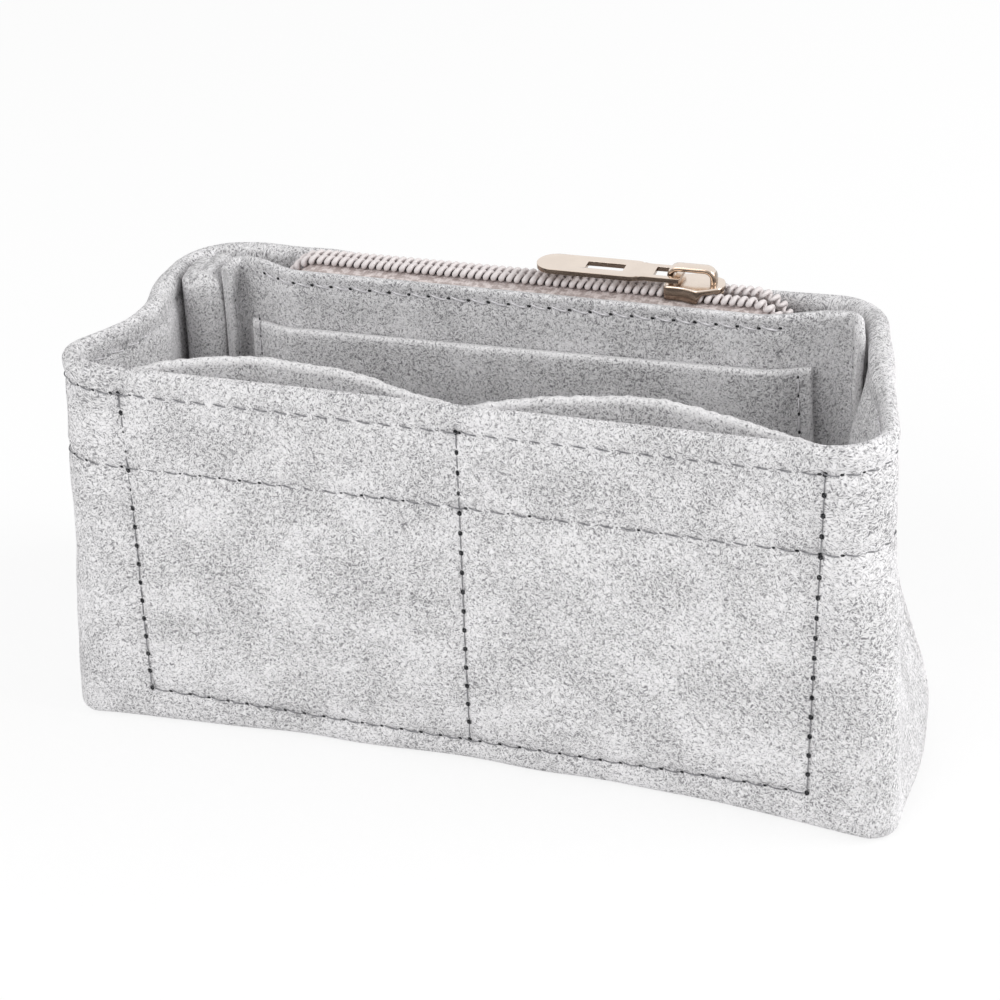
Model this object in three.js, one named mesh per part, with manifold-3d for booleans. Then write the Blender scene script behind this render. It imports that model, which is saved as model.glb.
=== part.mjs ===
// Purse organizer insert: a soft felt box with two slip pockets inside its front wall and a
// zipped pocket along its rear wall. Millimetres, +Z up, front towards -Y, base at z = 0.
import * as THREE from "three";
import Module from "manifold-3d";

const wasm = await Module();
wasm.setup();
const { Manifold } = wasm;

// Felt body
const BODY_HEIGHT = 76;
const RIM_WIDTH = 152;
const RIM_DEPTH = 60;
const CORNER_RADIUS = 11;
const FOOT_CORNER_RADIUS = 5;
const FLARE_X = 6;
const FLARE_Y = 6.5;
const FOOT_BOW = 2.4;
const REAR_BOW = 1;
const REAR_SAG = 3;
const SAG_START = 24;
const SAG_END = 48;
const REAR_DRAW_IN = 7;
const REAR_ROUND = 22;
const END_RUN = 16;
const RIGHT_END_OUT = 1;
const LEFT_FRONT_OUT = 1.6;
const LEFT_REAR_IN = 0.7;
const FELT = 2;
const LAYER_GAP = 0.3;
const HEM_DEPTH = 24;
const BOTTOM_RADIUS = 2.5;
const ALLOWANCE = 9;
const TURN_RADIUS = 0.3;
const TURN_RUN = 2.4;

// Front pockets, with their outer seams a set distance in from the ends of the rim
const POCKET_INSET = 11;
const POCKET_SHIFT = 1;
const POCKET_MARGIN = 3;
const POCKET_DROP = 0.5;
const POCKET_BULGE = 6;
const LEFT_LOBE_SKEW = 1.3;
const RIGHT_LOBE_SKEW = 0.9;
const POCKET_FOOT = 1;
const HEM_STEP = 8;
const HEM_STEP_GAP = 1;

// Zipped rear pocket and the slip pocket on its panel
const ZIP_PANEL_RISE = 1.5;
const ZIP_PANEL_TURN = 7;
const ZIP_HALF_GAP = 5.5;
const PANEL_BEND = 2.5;
const PANEL_EASE = 2;
const PANEL_RAISE_RUN = 5;
const PANEL_RAISE_GAP = 4;
const SLIP_DROP = 10.8;
const SLIP_LEFT_MARGIN = 4.5;
const SLIP_RIGHT_MARGIN = 9.2;
const SLIP_BASE = 12;
const CORNER_FOLD_WIDTH = 8.8;
const CORNER_FOLD_SLANT = 0.5;

// Zipper chain
const CHAIN_END = 32.5;
const CHAIN_DIVE_RADIUS = 6;
const CHAIN_DIVE = 9;
const CHAIN_RISE = 0.9;
const TOOTH_PITCH = 1.57;
const TOOTH_WIDTH = 0.62;
const TOOTH_OVERLAP = 0.45;
const COIL_HALF_WIDTH = 2.6;
const COIL_HEIGHT = 1.9;
const COIL_BAR = 1.17;
const COIL_PARTING = 1.15;
const PARTING_RUN = 5;
const PARTING_SETBACK = 2.6;
const COIL_GAP = 0.05;
const TAPE = 0.5;
const TAPE_INNER_EDGE = 0.8;
const TAPE_BEND = 0.8;
const TAPE_DROP = 8;

// Slider, a set distance from the right end of the straight chain
const SLIDER_FROM_END = 11.5;
const SLIDER_LENGTH = 12.2;
const SLIDER_NOSE = 1.5;
const SLIDER_WALL = 0.45;
const SLIDER_PLATE = 1;
const SLIDER_CLEARANCE = 0.2;
const WEDGE_LENGTH = 4.1;
const WEDGE_SETBACK = 0.3;
const WEDGE_TAPER = 1.5;
const WEDGE_ROUND = 0.9;
const WEDGE_TIP = 0.08;
const BAIL_WIDTH = 2.2;
const BAIL_BAR = 1;
const BAIL_LENGTH = 5;
const BAIL_PLAY = 0.55;
const PIVOT_SETBACK = 2.7;

// Pull tab
const TAB_LENGTH = 29.5;
const TAB_WIDTH = 7.4;
const TAB_THICKNESS = 1.2;
const TAB_LIFT = 0.4;
const TAB_NECK = 6;
const TAB_NECK_LENGTH = 6;
const TAB_SHOULDER = 3;
const TAB_CORNER = 0.8;
const LINK_LENGTH = 4;
const LINK_PLAY = 0.5;
const SLOT_START = 11.2;
const SLOT_LENGTH = 7.1;
const SLOT_WIDTH = 2.4;

// Sewing
const THREAD_WIDTH = 0.6;
const THREAD_HEIGHT = 0.35;
const UPPER_HEM_LINE = 5.1;
const LOWER_HEM_LINE = 20.2;
const POCKET_LINE = 8;
const POCKET_LINE_DIP = 2.4;
const BASE_LINE = 5.4;
const ZIP_LINE = 2.4;
const ZIP_LINE_LEFT = 7.3;
const ZIP_LINE_RIGHT = 14.3;
const SLIP_LINE = 2.5;
const CORNER_LINE = 4.2;
const CORNER_LINE_END = 2.5;
const THREAD_GAP = 0.15;

// Values that follow from the driving dimensions
const HALF_WIDTH = RIM_WIDTH / 2;
const HALF_DEPTH = RIM_DEPTH / 2;
const SIDE_HALF = HALF_DEPTH - CORNER_RADIUS;
const HEM = 2 * FELT + LAYER_GAP;
const FOLD_RADIUS = HEM / 2;
const HEM_END = BODY_HEIGHT - HEM_DEPTH;
const WALL_TURN = BOTTOM_RADIUS + TURN_RUN;
const BASE_INSET = WALL_TURN + FELT + LAYER_GAP;
const POCKET_HALF_WIDTH = HALF_WIDTH - POCKET_INSET;
const CHAIN_STRAIGHT = HALF_WIDTH - CHAIN_END;
const CHAIN_Z = BODY_HEIGHT + CHAIN_RISE;
const SLIDER_X = CHAIN_STRAIGHT - SLIDER_FROM_END;
const LEAN_STEPS = 6;

const feltMaterial = new THREE.MeshStandardMaterial({ color: 0xd2d0d3, roughness: 0.95 });
const tapeMaterial = new THREE.MeshStandardMaterial({ color: 0xc9bdbb, roughness: 0.9 });
const coilMaterial = new THREE.MeshStandardMaterial({ color: 0xbdb2b1, roughness: 0.5 });
const threadMaterial = new THREE.MeshStandardMaterial({ color: 0x5d5d62, roughness: 0.8 });
const metalMaterial = new THREE.MeshStandardMaterial({ color: 0xd8c7b5, roughness: 0.25, metalness: 1 });

const organizer = new THREE.Group();
organizer.name = "purse_organizer_insert";

// Goes smoothly from 0 at the first value to 1 at the second
function smooth(from, to, value) {
  const t = THREE.MathUtils.clamp((value - from) / (to - from), 0, 1);
  return t * t * (3 - 2 * t);
}

// Heights at which the side of the body changes its lean, from one height to another
function levels(from, to) {
  const heights = [from];
  for (let k = 1; k <= LEAN_STEPS; k += 1) {
    const z = (BODY_HEIGHT * k) / LEAN_STEPS;
    if (z > from + 0.5 && z < to - 0.5) {
      heights.push(z);
    }
  }
  return [...heights, to];
}

// Share of the way down to a height, 0 at the rim and 1 at the base, eased to a power and straight
// between the heights at which the side changes its lean
function drop(z, power = 1) {
  const step = THREE.MathUtils.clamp(1 - z / BODY_HEIGHT, 0, 1) * LEAN_STEPS;
  const below = Math.min(Math.floor(step), LEAN_STEPS - 1);
  const start = smooth(0, LEAN_STEPS, below) ** power;
  return start + (smooth(0, LEAN_STEPS, below + 1) ** power - start) * (step - below);
}

// Scale of the rim plan in width and depth at a height, so that every layer leans out together
function lean(z) {
  return [1 + (FLARE_X / HALF_WIDTH) * drop(z), 1 + (FLARE_Y / HALF_DEPTH) * drop(z)];
}

// Radius of the upright corners at a height, tighter towards the base
function cornerRadius(z) {
  return CORNER_RADIUS + (FOOT_CORNER_RADIUS - CORNER_RADIUS) * drop(z);
}

// How far the rear right corner is drawn in at a height
function drawnIn(z) {
  return REAR_DRAW_IN * (1 - drop(z, 6));
}

// Extra radius of the rear right corner at a height, rounder towards the base
function rearRound(z) {
  return REAR_ROUND * drop(z, 1.5);
}

// How far the ends of the rim stand out of square: the right end and the front of the left end
// a little out, the rear of the left end a little in
function endShift(x, y, z) {
  const end = smooth(HALF_WIDTH - END_RUN, HALF_WIDTH, Math.abs(x)) * (1 - drop(z));
  const front = smooth(-0.4 * SIDE_HALF, -1.3 * SIDE_HALF, y);
  return end * (x > 0 ? RIGHT_END_OUT : LEFT_REAR_IN - (LEFT_REAR_IN + LEFT_FRONT_OUT) * front);
}

function flared(x, y, z) {
  const [scaleX, scaleY] = lean(z);
  return new THREE.Vector3(x * scaleX + endShift(x, y, z), y * scaleY, z);
}

// How far a point of the plan bows towards the rear: the rear wall, and the foot of the front wall
function bow(x, y, z) {
  const along = Math.max(1 - (x / HALF_WIDTH) ** 2, 0);
  const depth = THREE.MathUtils.clamp(y / SIDE_HALF, -1, 1);
  return along * (REAR_BOW * Math.max(depth, 0) + FOOT_BOW * drop(z) * Math.max(-depth, 0));
}

// Height left to the rear wall where it sags along the zipper
function sagged(x, y, z) {
  const along = 1 - smooth(SAG_START, SAG_END, Math.abs(x));
  return z * (1 - (REAR_SAG / BODY_HEIGHT) * along * THREE.MathUtils.clamp(y / SIDE_HALF, 0, 1));
}

// Adds a closed solid to the object, with its faces turned outwards
function addSolid(name, material, points, faces) {
  let volume = 0;
  for (const [i, j, k] of faces) {
    volume += points[i].dot(points[j].clone().cross(points[k]));
  }
  const index = faces.flatMap(([i, j, k]) => (volume < 0 ? [k, j, i] : [i, j, k]));
  const geometry = new THREE.BufferGeometry();
  const positions = points.flatMap((p) => p.toArray());
  geometry.setAttribute("position", new THREE.Float32BufferAttribute(positions, 3));
  geometry.setIndex(index);
  geometry.computeVertexNormals();
  const mesh = new THREE.Mesh(geometry, material);
  mesh.name = name;
  organizer.add(mesh);
}

// Joins rings of equal count into a skin; caps are triangles in ring order, or none for a closed loop
function loftFaces(rings, caps) {
  const count = rings[0].length;
  const faces = [];
  const spans = caps ? rings.length - 1 : rings.length;
  for (let r = 0; r < spans; r += 1) {
    const a = r * count;
    const b = ((r + 1) % rings.length) * count;
    for (let i = 0; i < count; i += 1) {
      const j = (i + 1) % count;
      faces.push([a + i, a + j, b + j], [a + i, b + j, b + i]);
    }
  }
  const end = (rings.length - 1) * count;
  for (const [i, j, k] of caps ?? []) {
    faces.push([k, j, i], [end + i, end + j, end + k]);
  }
  return faces;
}

function addLoft(name, material, rings, caps) {
  addSolid(name, material, rings.flat(), loftFaces(rings, caps));
}

// Cap of a ring that runs along one side of a strip and back along the other
function stripCap(count) {
  const caps = [];
  for (let i = 0; i < count / 2 - 1; i += 1) {
    const back = count - 1 - i;
    caps.push([i, i + 1, back - 1], [i, back - 1, back]);
  }
  return caps;
}

// A felt or tape strip: each station holds one side's points and the other side's points
function addStrip(name, material, stations) {
  const rings = stations.map(([near, far]) => [...near, ...far.slice().reverse()]);
  addLoft(name, material, rings, stripCap(rings[0].length));
}

// Corners of the wall's plan at a height, a given distance inside the outer face: the rear right
// corner is rounder and drawn in, so the right side slants as the line that touches both corners
function planCorners(inset, z) {
  const radius = Math.max(cornerRadius(z) - inset, 0.5);
  const rearRadius = Math.max(cornerRadius(z) + rearRound(z) - inset, 0.5);
  const more = rearRadius - radius;
  const centreX = HALF_WIDTH - inset - radius;
  const centreY = HALF_DEPTH - inset - radius;
  const across = -more - drawnIn(z);
  const deep = 2 * centreY - more;
  const slant = Math.atan2(deep, across) - Math.acos(-more / Math.hypot(across, deep));
  const rear = [centreX + across, centreY - more];
  const places = [rear, [-centreX, centreY], [-centreX, -centreY], [centreX, -centreY]];
  return { radius, rearRadius, slant, places };
}

// Place of the right wall's face in plan at a depth, on the slanted side or the rear corner
function rightX(y, inset, z) {
  const { radius, rearRadius, slant, places } = planCorners(inset, z);
  const [rear, , , front] = places;
  const over = y - rear[1];
  if (over > rearRadius * Math.sin(slant)) {
    return rear[0] + Math.sqrt(rearRadius * rearRadius - over * over);
  }
  return front[0] + (radius - (y - front[1]) * Math.sin(slant)) / Math.cos(slant);
}

function planRing(inset, z) {
  const { radius, rearRadius, slant, places } = planCorners(inset, z);
  const cornerSteps = (k) => (k === 0 ? 8 : 4);
  const corner = (k, i) => {
    const from = k * (Math.PI / 2) + (k === 0 ? slant : 0);
    const to = (k + 1) * (Math.PI / 2) + (k === 3 ? slant : 0);
    const angle = from + ((to - from) * i) / cornerSteps(k);
    const reach = k === 0 ? rearRadius : radius;
    const [x, y] = places[k];
    return new THREE.Vector2(x + reach * Math.cos(angle), y + reach * Math.sin(angle));
  };
  const points = [];
  for (let k = 0; k < 4; k += 1) {
    for (let i = 0; i <= cornerSteps(k); i += 1) {
      points.push(corner(k, i));
    }
    const sideSteps = k === 0 || k === 2 ? 6 : 2;
    const next = corner((k + 1) % 4, 0);
    for (let i = 1; i < sideSteps; i += 1) {
      points.push(corner(k, cornerSteps(k)).lerp(next, i / sideSteps));
    }
  }
  return points;
}

function wallRing([inset, z]) {
  return planRing(inset, z).map((p) => {
    const point = flared(p.x, p.y + bow(p.x, p.y, z), z);
    return point.setZ(sagged(p.x, p.y, z));
  });
}

// Points on a quarter or half turn: pairs of outer and inner points as inset and height
function turn(centre, outer, inner, from, to, steps) {
  const pairs = [];
  for (let i = 0; i <= steps; i += 1) {
    const angle = THREE.MathUtils.degToRad(from + ((to - from) * i) / steps);
    const at = (radius) => [centre[0] + radius * Math.cos(angle), centre[1] + radius * Math.sin(angle)];
    pairs.push([at(outer), at(inner)]);
  }
  return pairs;
}

// Felt going up from a height, over the folded rim and down as the hem inside
function hemPath(bottom) {
  const top = BODY_HEIGHT - FOLD_RADIUS;
  const pairs = [];
  for (const z of levels(bottom, top).slice(0, -1)) {
    pairs.push([[0, z], [FELT, z]]);
  }
  pairs.push(...turn([FOLD_RADIUS, top], FOLD_RADIUS, LAYER_GAP / 2, 180, 0, 6));
  for (const z of levels(HEM_END, top).reverse().slice(1)) {
    pairs.push([[HEM, z], [HEM - FELT, z]]);
  }
  return pairs;
}

// Outer wall: turned-up lower edge, rounded bottom, side, folded rim and hem in one strip
function addOuterWall() {
  const edge = WALL_TURN - TURN_RADIUS;
  const pairs = [[[WALL_TURN + FELT, ALLOWANCE], [WALL_TURN, ALLOWANCE]]];
  pairs.push(...turn([edge, FELT + TURN_RADIUS], FELT + TURN_RADIUS, TURN_RADIUS, 0, -90, 3));
  const centre = [BOTTOM_RADIUS, BOTTOM_RADIUS];
  pairs.push(...turn(centre, BOTTOM_RADIUS, BOTTOM_RADIUS - FELT, 270, 180, 4).slice(0, -1));
  pairs.push(...hemPath(BOTTOM_RADIUS));
  const profile = [...pairs.map((p) => p[0]), ...pairs.map((p) => p[1]).reverse()];
  addLoft("outer_wall", feltMaterial, profile.map(wallRing));
}

// Base panel: flat felt with its edge turned up against the wall's own turned edge
function addBasePanel() {
  const centre = [BASE_INSET + FELT + TURN_RADIUS, FELT + TURN_RADIUS];
  const pairs = turn(centre, FELT + TURN_RADIUS, TURN_RADIUS, 270, 180, 3);
  pairs.push([[BASE_INSET, ALLOWANCE], [BASE_INSET + FELT, ALLOWANCE]]);
  const profile = [...pairs.map((p) => p[0]), ...pairs.map((p) => p[1]).reverse()];
  const rings = profile.map(wallRing);
  const count = rings[0].length;
  const points = [...rings.flat(), new THREE.Vector3(0, 0, 0), new THREE.Vector3(0, 0, FELT)];
  const faces = loftFaces(rings, []);
  const below = rings.length * count;
  const end = (rings.length - 1) * count;
  for (let i = 0; i < count; i += 1) {
    const j = (i + 1) % count;
    faces.push([below, j, i], [below + 1, end + i, end + j]);
  }
  addSolid("base_panel", feltMaterial, points, faces);
}

// Depth of the front wall's face in plan at a place across the width and a height
function frontY(x, inset, z) {
  const radius = Math.max(cornerRadius(z) - inset, 0.5);
  const over = Math.max(Math.abs(x) - (HALF_WIDTH - inset - radius), 0);
  return -(HALF_DEPTH - inset - radius) - Math.sqrt(Math.max(radius * radius - over * over, 0));
}

// A point of the front wall at its own place across the width, whatever the lean at that height
function frontPoint(x, inset, z) {
  const across = x / lean(z)[0];
  const y = frontY(across, inset, z);
  return flared(across, y + bow(across, y, z), z);
}

// Front pocket panel: behind the hem at the top, against the wall below it, and standing off
// the wall in two lobes between the left, centre and right seams
function pocketInset(x, z) {
  const stepEnd = HEM_END - HEM_STEP_GAP;
  const seat = FELT + LAYER_GAP + (HEM - FELT) * smooth(stepEnd - HEM_STEP, stepEnd, z);
  const share = Math.min(Math.abs(x - POCKET_SHIFT) / POCKET_HALF_WIDTH, 1);
  const lobe = Math.sin(Math.PI * share ** (x < POCKET_SHIFT ? LEFT_LOBE_SKEW : RIGHT_LOBE_SKEW));
  const start = ALLOWANCE + POCKET_FOOT;
  const rise = Math.max((z - start) / (BODY_HEIGHT - POCKET_DROP - start), 0);
  return seat + POCKET_BULGE * lobe * rise ** 0.6;
}

function addFrontPocket() {
  const bottom = BOTTOM_RADIUS + LAYER_GAP;
  const top = BODY_HEIGHT - POCKET_DROP;
  const stepEnd = HEM_END - HEM_STEP_GAP;
  const bends = [bottom, ALLOWANCE + POCKET_FOOT, stepEnd - HEM_STEP, stepEnd - HEM_STEP / 2, stepEnd, top];
  const heights = bends.slice(1).flatMap((z, i) => levels(bends[i], z).slice(i === 0 ? 0 : 1));
  const half = POCKET_HALF_WIDTH + POCKET_MARGIN;
  const places = [POCKET_SHIFT - half];
  for (let i = -10; i <= 10; i += 1) {
    places.push(POCKET_SHIFT + (i / 10) * POCKET_HALF_WIDTH);
  }
  places.push(POCKET_SHIFT + half);
  const stations = places.map((x) => {
    const side = (extra) => heights.map((z) => frontPoint(x, pocketInset(x, z) + extra, z));
    return [side(0), side(FELT)];
  });
  addStrip("front_pocket_panel", feltMaterial, stations);
}

// Inner face of the rear hem in plan, and the line of the zipper in front of it
function rearInner(x) {
  return HALF_DEPTH - HEM + bow(x, HALF_DEPTH, BODY_HEIGHT);
}

const ZIP_Y = rearInner(CHAIN_STRAIGHT) - ZIP_HALF_GAP;
const FOLD_LEFT = -HALF_WIDTH + HEM + LAYER_GAP;
const PANEL_LEFT = FOLD_LEFT + CORNER_FOLD_WIDTH + LAYER_GAP + FELT / 2;
const PANEL_START = PANEL_LEFT + PANEL_BEND;
const PANEL_MID_Y = ZIP_Y - ZIP_HALF_GAP - FELT / 2;
const PANEL_END_Y = HALF_DEPTH - BASE_INSET - 1.5 * FELT - 2 * LAYER_GAP;
const PANEL_BEND_Y = PANEL_END_Y - PANEL_BEND;
const PANEL_FRONT_Y = PANEL_BEND_Y - ZIP_PANEL_TURN;
const PANEL_TOP = BODY_HEIGHT + ZIP_PANEL_RISE;
const PANEL_STEPS = 22;

// Mid-surface of the panel's right end, straight along the slant of the right wall
function panelRight(y, z) {
  const share = (y - PANEL_FRONT_Y) / (PANEL_BEND_Y - PANEL_FRONT_Y);
  const x = THREE.MathUtils.lerp(rightX(PANEL_FRONT_Y, HEM, z), rightX(PANEL_BEND_Y, HEM, z), share);
  return x - LAYER_GAP - FELT / 2;
}

// Where the panel's main run ends on the right, and the length of one of its steps
function panelEnd(z) {
  return panelRight(PANEL_BEND_Y, z) - PANEL_BEND;
}

function panelStep(z) {
  return (panelEnd(z) - PANEL_START) / PANEL_STEPS;
}

// Mid-surface of the zip pocket panel along its main run
function panelY(x, z) {
  const end = x < 0 ? -PANEL_START : panelEnd(z);
  return PANEL_MID_Y + (PANEL_END_Y - PANEL_MID_Y) * smooth(CHAIN_STRAIGHT + PANEL_EASE, end, Math.abs(x));
}

// Places along the panel's main run at the rim where its plan has a corner
function panelPlaces(from, to) {
  const places = [from];
  for (let i = 1; i < PANEL_STEPS; i += 1) {
    const x = PANEL_START + i * panelStep(BODY_HEIGHT);
    if (x > from + 0.5 && x < to - 0.5) {
      places.push(x);
    }
  }
  return [...places, to];
}

// A point in front of the panel's mid-surface, measured square to it between the corners of its plan
function panelPoint(x, forward, z) {
  const at = (k) => {
    const place = PANEL_START + k * panelStep(z);
    const rise = panelY(place + 0.01, z) - panelY(place - 0.01, z);
    const along = new THREE.Vector2(0.02, rise).normalize();
    return new THREE.Vector2(place + along.y * forward, panelY(place, z) - along.x * forward);
  };
  const share = (x - PANEL_START) / panelStep(BODY_HEIGHT);
  const corner = Math.floor(share + 1e-6);
  const p = at(corner).lerp(at(corner + 1), share - corner);
  return flared(p.x, p.y, z);
}

// Zip pocket panel: turned forward at both ends, bowed forward where the zipper holds it open.
// Each place of its plan gives a point for a distance in front of its mid-surface and a height.
function addZipPanel() {
  const plan = [];
  const bend = (centreX, from, to) => {
    for (let i = 0; i <= 4; i += 1) {
      const angle = THREE.MathUtils.degToRad(from + ((to - from) * i) / 4);
      plan.push((forward, z) => {
        const radius = PANEL_BEND - forward;
        const x = centreX(z) + radius * Math.cos(angle);
        return flared(x, PANEL_BEND_Y + radius * Math.sin(angle), z);
      });
    }
  };
  plan.push((forward, z) => flared(PANEL_LEFT + forward, PANEL_FRONT_Y, z));
  bend(() => PANEL_START, 180, 90);
  const rimEnd = PANEL_START + PANEL_STEPS * panelStep(BODY_HEIGHT);
  for (const x of panelPlaces(PANEL_START, rimEnd).slice(1, -1)) {
    plan.push((forward, z) => panelPoint(x, forward, z));
  }
  bend(panelEnd, 90, 0);
  plan.push((forward, z) => flared(panelRight(PANEL_FRONT_Y, z) - forward, PANEL_FRONT_Y, z));
  const clearX = HALF_WIDTH - BASE_INSET - FELT - PANEL_RAISE_GAP;
  const stations = plan.map((place) => {
    const reach = Math.abs(place(-FELT / 2, BODY_HEIGHT).x) + (place(0, 0).x > 0 ? REAR_DRAW_IN : 0);
    const raised = smooth(clearX - PANEL_RAISE_RUN, clearX, reach);
    const bottom = FELT + LAYER_GAP + (ALLOWANCE - FELT) * raised;
    const heights = [bottom, ...levels(1.5 * ALLOWANCE, BODY_HEIGHT), PANEL_TOP];
    return [FELT / 2, -FELT / 2].map((forward) => heights.map((z) => place(forward, z)));
  });
  addStrip("zip_pocket_panel", feltMaterial, stations);
}

// Slip pocket: a flat piece of felt on the front of the zip pocket panel
const SLIP_LEFT = PANEL_LEFT + SLIP_LEFT_MARGIN;
const SLIP_RIGHT = panelRight(PANEL_BEND_Y, BODY_HEIGHT) - SLIP_RIGHT_MARGIN;
const SLIP_TOP = PANEL_TOP - SLIP_DROP;
const SLIP_FACE = 1.5 * FELT + LAYER_GAP;

function addSlipPocket() {
  const stations = panelPlaces(SLIP_LEFT, SLIP_RIGHT).map((x) => {
    const side = (forward) => levels(SLIP_BASE, SLIP_TOP).map((z) => panelPoint(x, forward, z));
    return [side(SLIP_FACE), side(SLIP_FACE - FELT)];
  });
  addStrip("slip_pocket_panel", feltMaterial, stations);
}

// Turned end of the wall strip in the rear left corner: doubled felt that comes forward along the
// wall and folds back on itself beside the zip pocket panel
function addCornerFold() {
  const outer = CORNER_FOLD_WIDTH / 2;
  const inner = LAYER_GAP / 2;
  const centreX = FOLD_LEFT + outer;
  const centreY = PANEL_FRONT_Y + outer;
  const heights = levels(ALLOWANCE + LAYER_GAP, BODY_HEIGHT);
  const upright = (x, y) => heights.map((z) => flared(x, y, z));
  const rear = (x) => SIDE_HALF + CORNER_FOLD_SLANT * (x - FOLD_LEFT);
  const leg = (side) => [outer, inner].map((radius) => {
    const x = centreX + side * radius;
    return upright(x, rear(x));
  });
  const stations = [leg(-1)];
  for (let i = 0; i <= 6; i += 1) {
    const angle = Math.PI + (i / 6) * Math.PI;
    const at = (radius) => upright(centreX + radius * Math.cos(angle), centreY + radius * Math.sin(angle));
    stations.push([at(outer), at(inner)]);
  }
  stations.push(leg(1));
  addStrip("corner_seam_fold", feltMaterial, stations);
}

// Zipper chain: straight along the pocket, dipping into the pocket at both ends
function chainPoint(s, lateral, height) {
  const over = Math.max(Math.abs(s) - CHAIN_STRAIGHT, 0);
  const bent = Math.min(over / CHAIN_DIVE_RADIUS, 1.2);
  const rest = over - bent * CHAIN_DIVE_RADIUS;
  const run = CHAIN_DIVE_RADIUS * Math.sin(bent) + rest * Math.cos(bent) + height * Math.sin(bent);
  const fall = CHAIN_DIVE_RADIUS * (1 - Math.cos(bent)) + rest * Math.sin(bent);
  const x = Math.sign(s) * (Math.min(Math.abs(s), CHAIN_STRAIGHT) + run);
  return flared(x, ZIP_Y + lateral, CHAIN_Z - fall + height * Math.cos(bent));
}

// How far each coil stands off the centre line: parted by the slider's wedge and beyond it
function parting(s) {
  const start = SLIDER_X - PARTING_SETBACK;
  return COIL_PARTING * smooth(start, start + PARTING_RUN, s);
}

// One row of coil elements: a bar along the tape and a rounded head at every pitch
function addCoil(name, side, shift) {
  const points = [];
  const faces = [];
  const start = -CHAIN_STRAIGHT - CHAIN_DIVE;
  const count = Math.floor((2 * -start) / TOOTH_PITCH) - 1;
  const bar = COIL_HALF_WIDTH - COIL_BAR;
  const wide = TOOTH_WIDTH / 2;
  const cell = [
    [0, COIL_HALF_WIDTH],
    [0, bar],
    [0.5 * TOOTH_PITCH - 0.8 * wide, bar],
    [0.5 * TOOTH_PITCH - wide, 0.1],
    [0.5 * TOOTH_PITCH - 0.6 * wide, -TOOTH_OVERLAP],
    [0.5 * TOOTH_PITCH + 0.6 * wide, -TOOTH_OVERLAP],
    [0.5 * TOOTH_PITCH + wide, 0.1],
    [0.5 * TOOTH_PITCH + 0.8 * wide, bar],
  ];
  const level = cell.length;
  const addLevel = (s, height) => {
    for (const [along, lateral] of cell) {
      points.push(chainPoint(s + along, side * (lateral + parting(s + along)), height));
    }
  };
  for (let k = 0; k < count; k += 1) {
    addLevel(start + (k + shift) * TOOTH_PITCH, 0);
    addLevel(start + (k + shift) * TOOTH_PITCH, COIL_HEIGHT);
  }
  const last = start + (count + shift) * TOOTH_PITCH;
  for (const height of [0, COIL_HEIGHT]) {
    for (const [along, lateral] of cell.slice(0, 2)) {
      points.push(chainPoint(last + along, side * (lateral + parting(last)), height));
    }
  }
  for (let k = 0; k < count; k += 1) {
    const low = 2 * level * k;
    const final = k === count - 1;
    const at = (i, upper) => low + upper * level + i;
    const next = (i, upper) => low + 2 * level + upper * (final ? 2 : level) + i;
    for (const upper of [0, 1]) {
      const p = (i) => at(i, upper);
      const flat = [
        [p(0), next(0, upper), next(1, upper)],
        [p(0), next(1, upper), p(7)],
        [p(0), p(7), p(2)],
        [p(0), p(2), p(1)],
        [p(2), p(7), p(6)],
        [p(2), p(6), p(5)],
        [p(2), p(5), p(4)],
        [p(2), p(4), p(3)],
      ];
      faces.push(...flat.map(([a, b, c]) => (upper ? [a, b, c] : [c, b, a])));
    }
    const rim = [1, 2, 3, 4, 5, 6, 7];
    for (let i = 0; i < 6; i += 1) {
      const [a, b] = [rim[i], rim[i + 1]];
      faces.push([at(a, 0), at(a, 1), at(b, 1)], [at(a, 0), at(b, 1), at(b, 0)]);
    }
    faces.push([at(7, 0), at(7, 1), next(1, 1)], [at(7, 0), next(1, 1), next(1, 0)]);
    faces.push([next(0, 0), next(0, 1), at(0, 1)], [next(0, 0), at(0, 1), at(0, 0)]);
  }
  const first = [0, level, level + 1, 1];
  faces.push([first[0], first[1], first[2]], [first[0], first[2], first[3]]);
  const tail = 2 * level * count;
  faces.push([tail, tail + 1, tail + 3], [tail, tail + 3, tail + 2]);
  addSolid(name, coilMaterial, points, faces);
}

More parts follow.
